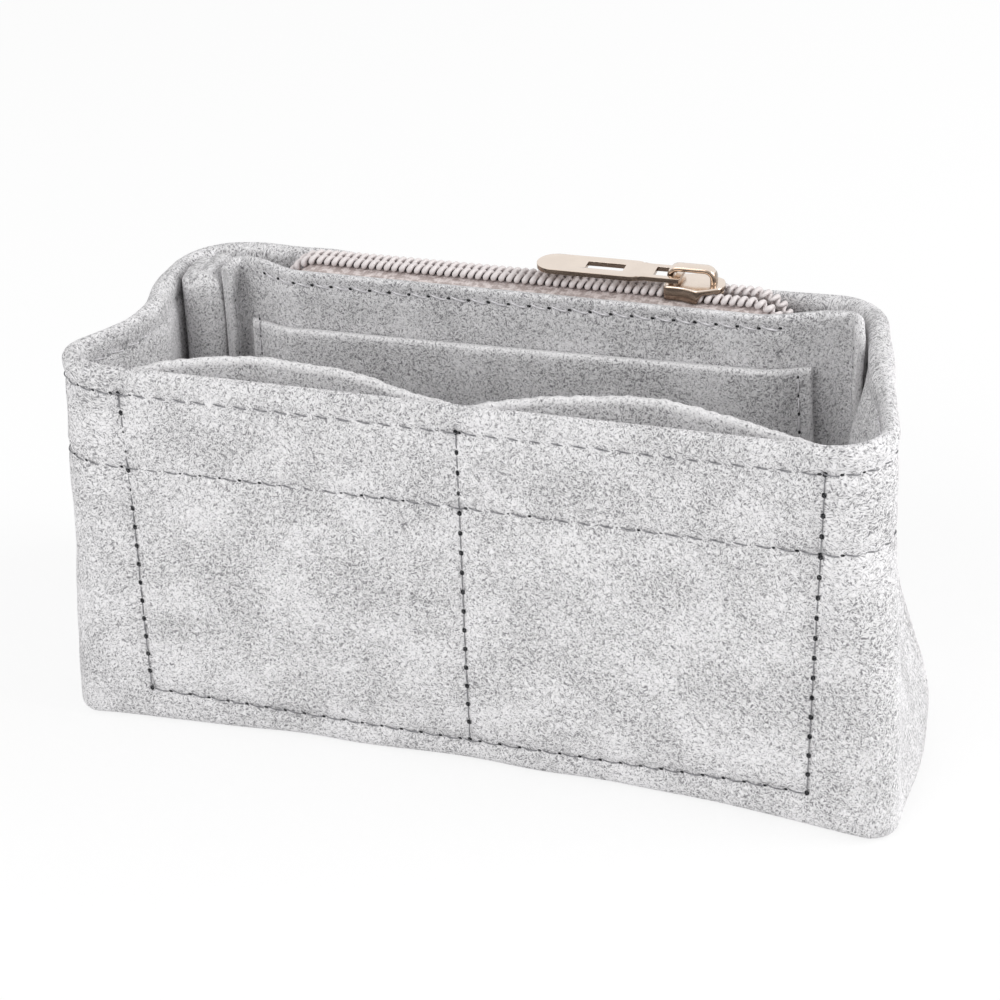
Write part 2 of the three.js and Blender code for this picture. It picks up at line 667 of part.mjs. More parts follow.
// Zipper tape: flat under its coil, then bent down and sewn to the felt
function addTape(name, side) {
  const under = -COIL_GAP - TAPE / 2;
  const stations = [];
  const reach = CHAIN_STRAIGHT + CHAIN_DIVE;
  const places = [];
  for (let i = 0; i <= 8; i += 1) {
    places.push(-reach + ((CHAIN_DIVE - 1) * i) / 8);
  }
  for (let i = 0; i <= 6; i += 1) {
    places.push(-CHAIN_STRAIGHT + ((SLIDER_X - PARTING_SETBACK + CHAIN_STRAIGHT) * i) / 6);
  }
  for (let i = 1; i <= 4; i += 1) {
    places.push(SLIDER_X - PARTING_SETBACK + (PARTING_RUN * i) / 4);
  }
  places.push(CHAIN_STRAIGHT);
  for (let i = 0; i <= 8; i += 1) {
    places.push(reach - (CHAIN_DIVE - 1) + ((CHAIN_DIVE - 1) * i) / 8);
  }
  for (const s of places) {
    const spine = chainPoint(s, 0, under);
    const felt = side < 0 ? panelPoint(spine.x, -FELT / 2, BODY_HEIGHT).y : rearInner(spine.x);
    const fall = Math.abs(felt - ZIP_Y) - LAYER_GAP - TAPE / 2;
    const flat = (lateral, offset) => chainPoint(s, side * lateral, under + offset);
    const hung = (lateral, drop) => flared(spine.x, ZIP_Y + side * lateral, spine.z - drop);
    const face = (offset) => {
      const line = [flat(TAPE_INNER_EDGE + parting(s), offset), flat(fall - TAPE_BEND, offset)];
      for (const angle of [30, 60, 90]) {
        const turned = THREE.MathUtils.degToRad(angle);
        const radius = TAPE_BEND + offset;
        const lateral = fall - TAPE_BEND + radius * Math.sin(turned);
        line.push(hung(lateral, TAPE_BEND - radius * Math.cos(turned)));
      }
      line.push(hung(fall + offset, TAPE_DROP));
      return line;
    };
    stations.push([face(TAPE / 2), face(-TAPE / 2)]);
  }
  addStrip(name, tapeMaterial, stations);
}

// Turns a solid from the boolean kernel into a named mesh
function addManifold(name, material, body) {
  const mesh = body.getMesh();
  const points = [];
  for (let i = 0; i < mesh.numVert; i += 1) {
    points.push(new THREE.Vector3(...mesh.position(i)));
  }
  const faces = [];
  for (let i = 0; i < mesh.numTri; i += 1) {
    faces.push([...mesh.verts(i)]);
  }
  addSolid(name, material, points, faces);
}

// Mirrors a half outline, given as places along the chain and half widths, about the centre line
function mirrored(half) {
  return [...half.map(([x, w]) => [x, -w]), ...half.slice().reverse()];
}

// Slider heights, from the underside of the coils
const TAPE_UNDERSIDE = CHAIN_Z - COIL_GAP - TAPE;
const CHANNEL_FLOOR = TAPE_UNDERSIDE - SLIDER_CLEARANCE;
const CHANNEL_ROOF = CHAIN_Z + COIL_HEIGHT + SLIDER_CLEARANCE;
const PLATE_TOP = CHANNEL_ROOF + SLIDER_PLATE;
const PIVOT_RADIUS = TAB_THICKNESS / 2 + BAIL_PLAY;
const PIVOT_X = SLIDER_X - PIVOT_SETBACK;
const PIVOT_Z = PLATE_TOP + TAB_THICKNESS / 2 + TAB_LIFT;

// Half outline of the bail seen from the front, at a distance from the tab's bar
function bailArch(radius, foot) {
  const right = PIVOT_X + BAIL_LENGTH;
  const arch = [[PIVOT_X - radius, foot]];
  for (let i = 0; i <= 6; i += 1) {
    const angle = Math.PI - (i / 6) * (Math.PI / 2);
    arch.push([PIVOT_X + radius * Math.cos(angle), PIVOT_Z + radius * Math.sin(angle)]);
  }
  for (let i = 0; i <= 6; i += 1) {
    const angle = Math.PI / 2 - (i / 6) * (Math.PI / 2);
    arch.push([right + radius * Math.cos(angle), PIVOT_Z + radius * Math.sin(angle)]);
  }
  arch.push([right + radius, foot]);
  return arch;
}

// Slider: two plates joined by a wedge between the coils, side flanges over the coils and a bail
function addSlider() {
  const tail = -SLIDER_LENGTH / 2;
  const nose = SLIDER_LENGTH / 2;
  const shoulder = nose - SLIDER_NOSE;
  const channel = (x) => COIL_HALF_WIDTH + parting(SLIDER_X + x) + SLIDER_CLEARANCE;
  const places = [];
  for (let i = 0; i <= 10; i += 1) {
    places.push(tail + ((shoulder - tail) * i) / 10);
  }
  const outline = places.map((x) => [x, channel(x) + SLIDER_WALL]);
  const wide = channel(shoulder) + SLIDER_WALL;
  outline.push([nose - 0.4 * SLIDER_NOSE, 0.62 * wide], [nose, 0.25 * wide]);
  const inside = places.map((x) => [x, channel(x)]);
  inside.unshift([tail - SLIDER_WALL, channel(tail)]);
  inside.push([nose + SLIDER_WALL, channel(nose)]);
  const bottom = CHANNEL_FLOOR - SLIDER_PLATE;
  const block = Manifold.extrude(mirrored(outline), PLATE_TOP - bottom).translate([0, 0, bottom]);
  const channelHeight = CHANNEL_ROOF - CHANNEL_FLOOR;
  const bore = Manifold.extrude(mirrored(inside), channelHeight).translate([0, 0, CHANNEL_FLOOR]);
  const slotHeight = TAPE + 2 * SLIDER_CLEARANCE;
  const slot = Manifold.cube([2 * SLIDER_LENGTH, 4 * wide, slotHeight], true);
  const wedgeWidth = TAPE_INNER_EDGE - SLIDER_CLEARANCE;
  const wedgeEnd = nose - WEDGE_SETBACK;
  const wedge = [
    [wedgeEnd - WEDGE_LENGTH, WEDGE_TIP],
    [wedgeEnd - WEDGE_LENGTH + WEDGE_TAPER, wedgeWidth],
    [wedgeEnd - WEDGE_ROUND, wedgeWidth],
    [wedgeEnd, 0.5 * wedgeWidth],
  ];
  const post = Manifold.extrude(mirrored(wedge), PLATE_TOP - bottom - SLIDER_PLATE);
  let body = block.subtract(bore).subtract(slot.translate([0, 0, CHANNEL_FLOOR + slotHeight / 2]));
  body = body.add(post.translate([0, 0, bottom + SLIDER_PLATE / 2])).translate([SLIDER_X, ZIP_Y, 0]);
  const outer = bailArch(PIVOT_RADIUS + BAIL_BAR, PLATE_TOP - SLIDER_PLATE / 2);
  const inner = bailArch(PIVOT_RADIUS, PLATE_TOP - SLIDER_PLATE / 2);
  const bail = Manifold.extrude([...inner, ...outer.reverse()], BAIL_WIDTH);
  body = body.add(bail.rotate([90, 0, 0]).translate([0, ZIP_Y + BAIL_WIDTH / 2, 0]));
  addManifold("slider_body", metalMaterial, body);
}

// Pull tab: a bar in the bail, a link hole, a finger slot and a rounded end, lying to the left
function addPullTab() {
  const bar = TAB_THICKNESS / 2;
  const half = TAB_WIDTH / 2;
  const neck = TAB_NECK / 2;
  const shoulder = -TAB_NECK_LENGTH - TAB_SHOULDER;
  const corner = TAB_CORNER;
  const end = bar - TAB_LENGTH + half;
  const outline = [];
  for (let i = 0; i <= 16; i += 1) {
    const angle = Math.PI / 2 + (i / 16) * Math.PI;
    outline.push([end + half * Math.cos(angle), half * Math.sin(angle)]);
  }
  outline.push([shoulder, -half], [-TAB_NECK_LENGTH, -neck], [bar - corner, -neck], [bar, corner - neck]);
  outline.push([bar, neck - corner], [bar - corner, neck], [-TAB_NECK_LENGTH, neck], [shoulder, half]);
  const box = (from, to, width) => [[from, -width], [to, -width], [to, width], [from, width]];
  const link = box(-bar - LINK_LENGTH, -bar, BAIL_WIDTH / 2 + LINK_PLAY);
  const fingerSlot = box(-SLOT_START - SLOT_LENGTH, -SLOT_START, SLOT_WIDTH / 2);
  const plate = Manifold.extrude(outline, TAB_THICKNESS);
  const cut = (shape) => Manifold.extrude(shape, 3 * TAB_THICKNESS).translate([0, 0, -TAB_THICKNESS]);
  const tab = plate.subtract(cut(link)).subtract(cut(fingerSlot));
  addManifold("pull_tab", metalMaterial, tab.translate([PIVOT_X, ZIP_Y, PIVOT_Z - TAB_THICKNESS / 2]));
}

// A run of thread along a line on a face; the face gives a point for its two places and a lift
function addThread(name, line, face) {
  const stations = line.map(([u, w, lift = 0], i) => {
    const before = line[Math.max(i - 1, 0)];
    const after = line[Math.min(i + 1, line.length - 1)];
    const inward = new THREE.Vector2(u - before[0], w - before[1]).normalize();
    const outward = new THREE.Vector2(after[0] - u, after[1] - w).normalize();
    const along = inward.clone().add(outward).normalize();
    const reach = THREAD_WIDTH / 2 / Math.max(along.dot(i === 0 ? outward : inward), 0.5);
    const side = (sign, height) => face(u - sign * along.y * reach, w + sign * along.x * reach, height);
    const low = THREAD_GAP + lift;
    const pair = (height) => [side(-1, height), side(1, height)];
    return [pair(low), pair(low + THREAD_HEIGHT)];
  });
  addStrip(name, threadMaterial, stations);
}

// A run of thread right round the body at one height, on a face at an inset
function addRoundThread(name, z, inset, outward) {
  const low = inset - outward * THREAD_GAP;
  const high = low - outward * THREAD_HEIGHT;
  const half = THREAD_WIDTH / 2;
  const profile = [[low, z - half], [high, z - half], [high, z + half], [low, z + half]];
  addLoft(name, threadMaterial, profile.map(wallRing));
}

function addSeams() {
  const upper = BODY_HEIGHT - UPPER_HEM_LINE;
  const lower = BODY_HEIGHT - LOWER_HEM_LINE;
  addRoundThread("hem_seam_upper", upper, 0, 1);
  addRoundThread("hem_seam_lower", lower, 0, 1);
  addRoundThread("base_seam", BASE_LINE, BASE_INSET + FELT, -1);

  // The upright rows pass over the two hem rows
  const front = (x, z, lift) => frontPoint(x, -lift, z);
  const over = THREAD_HEIGHT + 2 * THREAD_GAP;
  const near = 0.8 * THREAD_WIDTH;
  const far = 2 * THREAD_WIDTH;
  const crossing = (z) => [[z + far, 0], [z + near, over], [z - near, over], [z - far, 0]];
  const uprights = { left: -POCKET_HALF_WIDTH, centre: 0, right: POCKET_HALF_WIDTH };
  for (const [place, offset] of Object.entries(uprights)) {
    const x = POCKET_SHIFT + offset;
    const centreFoot = POCKET_LINE - POCKET_LINE_DIP + 2 * THREAD_WIDTH;
    const foot = place === "centre" ? centreFoot : POCKET_LINE - THREAD_WIDTH / 2;
    const heights = [[BODY_HEIGHT - FOLD_RADIUS, 0], ...crossing(upper), ...crossing(lower)];
    heights.push(...levels(foot, lower - 2 * far).reverse().map((z) => [z, 0]));
    addThread(`pocket_seam_${place}`, heights.map(([z, lift]) => [x, z, lift]), front);
  }
  const reach = POCKET_HALF_WIDTH - THREAD_WIDTH;
  const bottomLine = [];
  for (let i = -6; i <= 6; i += 1) {
    const dip = POCKET_LINE_DIP * (1 - (i / 6) ** 2);
    bottomLine.push([POCKET_SHIFT + (i / 6) * reach, POCKET_LINE - dip]);
  }
  addThread("pocket_seam_bottom", bottomLine, front);

  // Rows on the zip pocket panel and on the slip pocket
  const onPanel = (forward) => (x, z, lift) => panelPoint(x, forward + lift, z);
  const across = (from, to, z) => panelPlaces(from, to).map((x) => [x, z]);
  const zipRight = panelRight(PANEL_BEND_Y, BODY_HEIGHT) - ZIP_LINE_RIGHT;
  const zipLine = across(PANEL_LEFT + ZIP_LINE_LEFT, zipRight, PANEL_TOP - ZIP_LINE);
  addThread("zip_seam", zipLine, onPanel(FELT / 2));
  const left = SLIP_LEFT + SLIP_LINE;
  const right = SLIP_RIGHT - SLIP_LINE;
  const foot = SLIP_BASE + SLIP_LINE;
  const upright = levels(foot, SLIP_TOP - THREAD_WIDTH).slice(1).reverse();
  const slipLine = [...upright.map((z) => [left, z]), ...across(left, right, foot)];
  slipLine.push(...upright.reverse().map((z) => [right, z]));
  addThread("slip_pocket_seam", slipLine, onPanel(SLIP_FACE));

  // Rows through the turned ends of the zip pocket panel
  const endY = PANEL_BEND_Y - CORNER_LINE;
  const heights = levels(1.5 * ALLOWANCE, BODY_HEIGHT - CORNER_LINE_END);
  const onLeft = (y, z, lift) => flared(PANEL_LEFT + FELT / 2 + lift, y, z);
  const onRight = (y, z, lift) => flared(panelRight(y, z) - FELT / 2 - lift, y, z);
  addThread("corner_seam_left", heights.map((z) => [endY, z]), onLeft);
  addThread("corner_seam_right", heights.map((z) => [endY, z, THREAD_GAP]), onRight);
}

addOuterWall();
addBasePanel();
addFrontPocket();
addZipPanel();
addSlipPocket();
addCornerFold();
addTape("zipper_tape_front", -1);
addTape("zipper_tape_rear", 1);
addCoil("zipper_coil_front", -1, 0);
addCoil("zipper_coil_rear", 1, 0.5);
addSlider();
addPullTab();
addSeams();

// Centres the object over the middle of its base
const centre = new THREE.Box3().setFromObject(organizer).getCenter(new THREE.Vector3());
for (const piece of organizer.children) {
  piece.geometry.translate(-centre.x, -centre.y, 0);
}

export default organizer;
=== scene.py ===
# %% [markdown]
# A felt purse organizer insert
#
# The object is a soft open box of light grey needle felt that drops into a handbag. Two slip
# pockets bulge behind its front wall and a zipped pocket runs along its rear wall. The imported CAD
# model is loaded first, because it fixes where everything is. Each of its solids is then replaced by
# a finer surface worked out with numpy from the same sizes.

# %% Load the frame
import math

import bpy
import numpy as np
from mathutils import Matrix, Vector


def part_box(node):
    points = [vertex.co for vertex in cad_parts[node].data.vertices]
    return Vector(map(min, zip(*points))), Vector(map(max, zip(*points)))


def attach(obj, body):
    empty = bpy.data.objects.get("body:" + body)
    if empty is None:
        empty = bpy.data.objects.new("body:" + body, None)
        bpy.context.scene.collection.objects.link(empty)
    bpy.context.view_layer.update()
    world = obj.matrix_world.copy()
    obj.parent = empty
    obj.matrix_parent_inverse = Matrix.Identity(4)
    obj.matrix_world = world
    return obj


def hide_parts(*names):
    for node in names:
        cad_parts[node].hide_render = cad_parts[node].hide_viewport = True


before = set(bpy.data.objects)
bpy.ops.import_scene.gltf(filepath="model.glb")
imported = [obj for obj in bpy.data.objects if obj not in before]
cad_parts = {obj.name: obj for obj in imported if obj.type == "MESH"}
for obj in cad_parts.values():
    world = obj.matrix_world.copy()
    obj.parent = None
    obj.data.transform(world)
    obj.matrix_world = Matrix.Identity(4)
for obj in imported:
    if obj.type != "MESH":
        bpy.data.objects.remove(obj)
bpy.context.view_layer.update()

# %% [markdown]
# The felt box leans out towards its base, so every layer is drawn in the plan of the rim and then
# widened by the lean at its height. Keeping that in one function means that the wall, the pockets,
# the stitches and the zipper tapes all move together and never cut through each other.

# %% Sizes of the felt box, in millimetres
HEIGHT = 76.0
HALF_WIDTH = 76.0
HALF_DEPTH = 30.0
CORNER = 11.0
FOOT_CORNER = 5.0
SIDE_HALF = HALF_DEPTH - CORNER
FLARE_X = 6.0
FLARE_Y = 6.5
BOTTOM_RADIUS = 2.5
FELT = 2.0
GAP = 0.3
HEM = 2 * FELT + GAP
FOLD = HEM / 2
HEM_END = HEIGHT - 24.0
UPPER_ROW = HEIGHT - 5.1
LOWER_ROW = HEIGHT - 20.2
POCKET_ROW = 8.0
POCKET_DIP = 2.4
POCKET_MIDDLE = 1.0
POCKET_HALF = 65.0
POCKET_TOP = HEIGHT - 0.5
ALLOWANCE = 9.0
WALL_TURN = 4.9
BASE_INSET = WALL_TURN + FELT + GAP


def ramp(start, end, value):
    """0 before start, 1 after end, and a straight line between them."""
    return np.clip((value - start) / (end - start), 0, 1)


def ease(start, end, value):
    """0 before start, 1 after end, and 3t^2 - 2t^3 between them."""
    t = ramp(start, end, value)
    return t * t * (3 - 2 * t)


def bell(distance, width):
    """Bell curve of a distance: the exponential of minus its square, in widths."""
    return np.exp(-((distance / width) ** 2))


def drop(z):
    """Eased share of the way down from the rim to the base."""
    return ease(HEIGHT, 0, z)


def lean(z):
    """Scale of the plan in width and in depth at a height: 1 plus the flare times the drop."""
    return 1 + FLARE_X / HALF_WIDTH * drop(z), 1 + FLARE_Y / HALF_DEPTH * drop(z)


print("scale at the base:", np.round(lean(np.array(0.0)), 3))

# %% Slack of the end walls
END_RUN = 16.0
RIGHT_END_OUT = 1.0
LEFT_FRONT_OUT = 1.6
LEFT_REAR_IN = 0.7
LEFT_RIM_OUT = 2.4
LEFT_RIM_FADE = (32.0, 58.0)
LEFT_FOOT_IN = 0.6
LEFT_FOOT_FADE = (34.0, 12.0)
RIGHT_FOOT_OUT = 1.8
RIGHT_FOOT_FRONT = (-36.0, -8.0)
RIGHT_FOOT_REAR = (15.0, -10.0)
DENT_ENDS = (46.0, 70.0)
RIGHT_DENT = 4.0
RIGHT_DENT_BELL = (2.0, 12.0, 8.0)
RIGHT_DENT_TOP = (HEIGHT, 57.0)
RIGHT_DENT_FOOT = (4.0, 34.0)
LEFT_DENT = 3.3
LEFT_DENT_BELL = (-3.0, 13.0, 9.0)
LEFT_DENT_FOOT = (6.0, 52.0)


def end_shift(x, y, z):
    """How far the ends stand out of square, to the right counted as more. At the rim, fading towards the
    base, the right end and the front of the left end stand out and the rear of the left end in. The left
    front corner leans out further at the top, and the middle of the right foot bulges out."""
    end = ease(HALF_WIDTH - END_RUN, HALF_WIDTH, np.abs(x))
    front = ease(-0.4 * SIDE_HALF, -1.3 * SIDE_HALF, y)
    left_rim = LEFT_REAR_IN - (LEFT_REAR_IN + LEFT_FRONT_OUT) * front
    rim = np.where(x > 0, RIGHT_END_OUT, left_rim) * (1 - drop(z))
    left = front * (LEFT_FOOT_IN * ease(*LEFT_FOOT_FADE, z) - LEFT_RIM_OUT * ease(*LEFT_RIM_FADE, z))
    right = RIGHT_FOOT_OUT * ease(*RIGHT_FOOT_FRONT, y) * ease(*RIGHT_FOOT_REAR, y) * drop(z) ** 8
    return end * (rim + np.where(x > 0, right, left))


def uneven_bell(y, middle, ahead, behind):
    """Bell curve along the depth with one width ahead of its middle and another behind it."""
    return bell(y - middle, np.where(y < middle, ahead, behind))


def dent(x, y, z):
    """How far the end walls are pushed in, to the left counted as more: bell curves along the depth, wider
    to the front. The right wall is pushed in below its rim, with an eased rise and fall over the height.
    The left one is pushed in from the rim down, and less towards the base."""
    right = RIGHT_DENT * uneven_bell(y, *RIGHT_DENT_BELL) * ease(*RIGHT_DENT_TOP, z)
    left = LEFT_DENT * uneven_bell(y, *LEFT_DENT_BELL) * ease(*LEFT_DENT_FOOT, z)
    return right * ease(*RIGHT_DENT_FOOT, z) * ease(*DENT_ENDS, x) - left * ease(*DENT_ENDS, -x)


def flared(x, y, z):
    """Points of the rim plan carried to their height, as an array of x, y, z."""
    scale_x, scale_y = lean(z)
    moved = x * scale_x + end_shift(x, y, z) - dent(x, y, z)
    return np.stack(np.broadcast_arrays(moved, y * scale_y, z), -1)


print("left front corner of the rim at", np.round(flared(-HALF_WIDTH, -HALF_DEPTH, HEIGHT), 1))

# %% Bow and sag of the long walls
DRAW_IN = 7.0
REAR_ROUND = 22.0
FOOT_BOW = 3.2
REAR_BOW = 1.0
RIGHT_FOOT_AHEAD = 1.3
AHEAD_FROM = (44.0, 74.0)
REAR_SAG = 3.0
SAG_FADE = (24.0, 48.0)
LEFT_REAR_LOW = 0.8
LOW_CORNER_X = (-58.0, -72.0)
LOW_CORNER_Y = (6.0, 24.0)


def drawn_in(z):
    """How far the rear right corner is pulled inward: all of it down to the lower wall, none at the base."""
    return DRAW_IN * (1 - drop(z) ** 6)


def rear_round(z):
    """What the rear right corner has more in radius than the others: none at the rim, all at the base."""
    return REAR_ROUND * drop(z) ** 1.5


def bow(x, y, z):
    """Bow towards the rear: a parabola across the width, for the rear wall and for the foot of the front,
    less what the front foot's right corner stands ahead."""
    across = np.maximum(1 - (x / HALF_WIDTH) ** 2, 0)
    depth = np.clip(y / SIDE_HALF, -1, 1)
    foot = FOOT_BOW * across * drop(z) - RIGHT_FOOT_AHEAD * ease(*AHEAD_FROM, x) * drop(z) ** 4
    return REAR_BOW * across * np.maximum(depth, 0) + foot * np.maximum(-depth, 0)


def sagged(x, y, z):
    """Height that is left to the rear wall, which sags along the zipper and a little at its left corner."""
    along = 1 - ease(*SAG_FADE, np.abs(x))
    corner = LEFT_REAR_LOW * ease(*LOW_CORNER_X, x) * ease(*LOW_CORNER_Y, y)
    low = REAR_SAG * along * np.clip(y / SIDE_HALF, 0, 1) + corner
    return z * (1 - low / HEIGHT)


print("rear rim in the middle at", np.round(sagged(0.0, HALF_DEPTH, HEIGHT), 1), "mm")

# %% [markdown]
# Every piece is measured in millimetres about the middle of the rim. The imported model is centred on
# its own box, so the pieces need one small shift in depth. The slider is the same in front of and
# behind the zipper line, so the middle of its box gives that shift exactly.

# %% From millimetres to the frame
CHAIN_HALF = 43.5
ZIP_HALF_GAP = 5.5
ZIP_Y = HALF_DEPTH - HEM + REAR_BOW * (1 - (CHAIN_HALF / HALF_WIDTH) ** 2) - ZIP_HALF_GAP
slider_low, slider_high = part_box("slider_body")
SHIFT_Y = 500 * (slider_low[1] + slider_high[1]) - ZIP_Y


def in_frame(points):
    """Points in millimetres about the rim's middle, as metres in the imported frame."""
    return (np.asarray(points, float) + np.array([0, SHIFT_Y, 0])) / 1000


print("zipper line at y =", round(ZIP_Y, 2), "mm, shift", round(SHIFT_Y, 3), "mm")

# %% [markdown]
# The camera comes before the looks. It stands a little to the right and above, with a long lens, and
# is turned slightly about its own axis as the photograph is. Writing its right, up and forward
# directions as a matrix avoids any guess about rotation order.

# %% Camera
FOCAL = 2200.0
IMAGE_SIZE = 1000
SENSOR = 36.0
PITCH = math.radians(30.70)
YAW = math.radians(19.01)
ROLL = math.radians(-2.96)
OFFSET = np.array([3.45, -33.77, 447.43])


def placed(name, data):
    """A new object with its data, linked into the scene."""
    made = bpy.data.objects.new(name, data)
    bpy.context.scene.collection.objects.link(made)
    return made


def stand(thing, right, up, back, place):
    """Puts an object at a place in metres, with its three axes along the given directions."""
    pose = np.eye(4)
    pose[:3, :4] = np.stack([right, up, back, place], 1)
    thing.matrix_world = Matrix(pose.tolist())


forward = np.array([-math.sin(YAW) * math.cos(PITCH), math.cos(YAW) * math.cos(PITCH), -math.sin(PITCH)])
level = np.array([math.cos(YAW), math.sin(YAW), 0.0])
upright = np.cross(level, forward)
right = math.cos(ROLL) * level + math.sin(ROLL) * upright
up = math.cos(ROLL) * upright - math.sin(ROLL) * level
eye = -(OFFSET[0] * right + OFFSET[1] * up + OFFSET[2] * forward) / 1000
camera_data = bpy.data.cameras.new("photo_camera")
camera_data.sensor_width = SENSOR
camera_data.lens = SENSOR * FOCAL / IMAGE_SIZE
camera_data.clip_start = 0.01
camera_data.clip_end = 50.0
camera = placed("photo_camera", camera_data)
stand(camera, right, up, -forward, eye)
bpy.context.scene.camera = camera
print("camera at", np.round(eye, 3), "m with a lens of", round(camera_data.lens, 1), "mm")

# %% [markdown]
# Felt, tape and thread are all sheets or runs with a thickness. One helper turns a grid of points
# into such a layer: it moves the grid half the thickness each way along the surface and closes the
# edges. Solidify could do the same, but here each side can be pressed in on its own, which is what a
# row of stitches does to felt.

# %% Faces of grids, shells and tubes
ROUND = [0, 1, 2, 3]
OVER = [0, 3, 2, 1]


def numbered(shape):
    """Point numbers in the shape of a grid."""
    return np.arange(math.prod(shape)).reshape(shape)


def grid_quads(index, closed=False):
    """Quads between neighbours on a grid of point numbers, whose rows may close to rings."""
    if closed:
        index = np.concatenate([index, index[..., :1]], -1)
    corners = [index[..., :-1, :-1], index[..., 1:, :-1], index[..., 1:, 1:], index[..., :-1, 1:]]
    return np.stack(corners, -1).reshape(-1, 4)


def shell_faces(near, far, wrap=False):
    """Quads of a thin shell between two grids of point numbers: both skins, then strips that join them along
    the open edges."""
    edges = [(near[:, 0], far[:, 0], OVER), (near[:, -1], far[:, -1], ROUND)]
    if not wrap:
        edges += [(near[0], far[0], ROUND), (near[-1], far[-1], OVER)]
    strips = [grid_quads(np.stack([front, back], -1))[:, order] for front, back, order in edges]
    return np.concatenate([grid_quads(near), grid_quads(far)[:, ::-1], *strips])


def tube_faces(shape):
    """Faces of tubes whose points are numbered ring by ring: quads round every tube, then its two ends."""
    index = numbered(shape)
    ends = [end.reshape(-1, shape[-1]) for end in (index[..., 0, ::-1], index[..., -1, :])]
    return grid_quads(index, closed=True)[:, OVER].tolist() + np.concatenate(ends).tolist()


print("faces of a tube of two rings:", tube_faces((2, 3)))

# %% Layers with a thickness
EDGE_STEP = 0.002


def unit(vectors):
    """Vectors scaled to length 1."""
    return vectors / np.maximum(np.linalg.norm(vectors, axis=-1, keepdims=True), 1e-12)


def surface_normal(grid, wrap=False):
    """Cross product of the two grid directions, each taken between neighbours."""
    along = np.roll(grid, -1, 0) - np.roll(grid, 1, 0) if wrap else np.gradient(grid, axis=0)
    return unit(np.cross(along, np.gradient(grid, axis=1)))


def run_lengths(grid, axis, wrap=False):
    """Mean distance run along one grid direction, in metres."""
    steps = np.diff(grid, axis=axis)
    if wrap:
        steps = np.concatenate([steps, grid[:1] - grid[-1:]], axis=0)
    lengths = np.linalg.norm(steps, axis=-1).mean(axis=1 - axis)
    return np.concatenate([[0], np.cumsum(lengths)]) / 1000


def layer_mesh(name, grid, thick, wrap=False, press=0.0, press_back=0.0, cut=0.0):
    """A sheet with a thickness: the grid plus and minus half the thickness along its normal, each side
    pressed in by its own amount, joined along the open edges. The map runs in metres on each side. Where the
    sheet closes on itself the map has one row more than the grid."""
    shape = grid.shape[:2]
    rows, cols = shape
    normal = surface_normal(grid, wrap)
    front = grid + normal * np.broadcast_to(thick / 2 - press, shape)[..., None]
    back = grid - normal * np.broadcast_to(thick / 2 - press_back, shape)[..., None]
    across = np.stack([run_lengths(face, 0, wrap) for face in (front, back)])
    down = np.stack([run_lengths(face, 1) for face in (front, back)])
    places = numbered((*across.shape, cols))
    side, row, col = np.unravel_index(shell_faces(*places, wrap), places.shape)
    faces = (side * rows + row % rows) * cols + col
    skins = 2 * (across.shape[1] - 1) * (cols - 1)
    mapped = np.where(np.arange(len(side))[:, None] < skins, side, 0)
    uv = np.stack([across[mapped, row], down[mapped, col]], -1)
    uv[skins:] += side[skins:, :, None] * EDGE_STEP
    points = np.concatenate([front.reshape(-1, 3), back.reshape(-1, 3)])
    cut_values = np.tile(np.broadcast_to(cut, shape).ravel(), 2)
    return piece_from(name, points, faces.tolist(), uv, cut_values)


def piece_from(name, points, faces, uv=None, cut=None):
    """An object from points in millimetres and a list of faces, with its map and cut edge values."""
    mesh = bpy.data.meshes.new(name)
    mesh.from_pydata(in_frame(points).tolist(), [], faces)
    if uv is not None:
        layer = mesh.uv_layers.new(name="cloth")
        layer.data.foreach_set("uv", np.asarray(uv, np.float32).ravel())
    if cut is not None:
        values = mesh.attributes.new("cut", "FLOAT", "POINT")
        values.data.foreach_set("value", np.asarray(cut, np.float32))
    mesh.polygons.foreach_set("use_smooth", np.full(len(mesh.polygons), True))
    mesh.update()
    return placed(name, mesh)


def dress(piece, body, slot, nodes, *materials):
    """Puts a finished piece on its body, in place of its CAD nodes, with its materials."""
    for material in materials:
        piece.data.materials.append(material)
    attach(piece, body)
    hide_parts(*nodes)
    print(piece.name, "has", len(piece.data.polygons), "faces")
    return piece


def spaced(start, end, coarse, fine=1.0, marks=(), reach=3.0):
    """Places from start to end, a coarse step apart and a fine step near the marks: the wanted number of
    steps is summed along the way and read back at equal shares."""
    places = np.linspace(start, end, 6000)
    density = np.full_like(places, 1 / coarse)
    for mark in marks:
        density = np.maximum(density, bell(places - mark, reach) / fine)
    steps = (density[1:] + density[:-1]) / 2 * np.abs(np.diff(places))
    total = np.concatenate([[0], np.cumsum(steps)])
    return np.interp(np.linspace(0, total[-1], int(np.ceil(total[-1])) + 1), total, places)


print("layer helper ready, its map steps over an edge by", EDGE_STEP, "m")

# %% [markdown]
# Needle felt is a mat of short fibres lying every way. Close up it reads as pale grey sprinkled with
# short dark and white strokes, and from a step back these gather in faint clouds. A painted picture
# could show that, but nodes can make it at any size: layers of noise, each turned and then stretched
# in its own direction, give crossing fibres, and a soft noise makes them thicker in some places. The
# same fibres raise the surface a little.

# %% Shader nodes
def fill(tree, target, values):
    """Gives a node's inputs, by place or by name, their values: a socket is linked and a number is set."""
    for name, value in dict(values).items():
        if isinstance(value, bpy.types.NodeSocket):
            tree.links.new(value, target.inputs[name])
        else:
            target.inputs[name].default_value = value


def node(tree, kind, values=(), **settings):
    """The outputs of a new shader node with its settings and the values of its inputs."""
    made = tree.nodes.new(kind)
    for name, value in settings.items():
        setattr(made, name, value)
    fill(tree, made, values)
    return made.outputs


def math_node(tree, operation, *values):
    """The result of one sum on sockets or numbers."""
    return node(tree, "ShaderNodeMath", dict(enumerate(values)), operation=operation)[0]


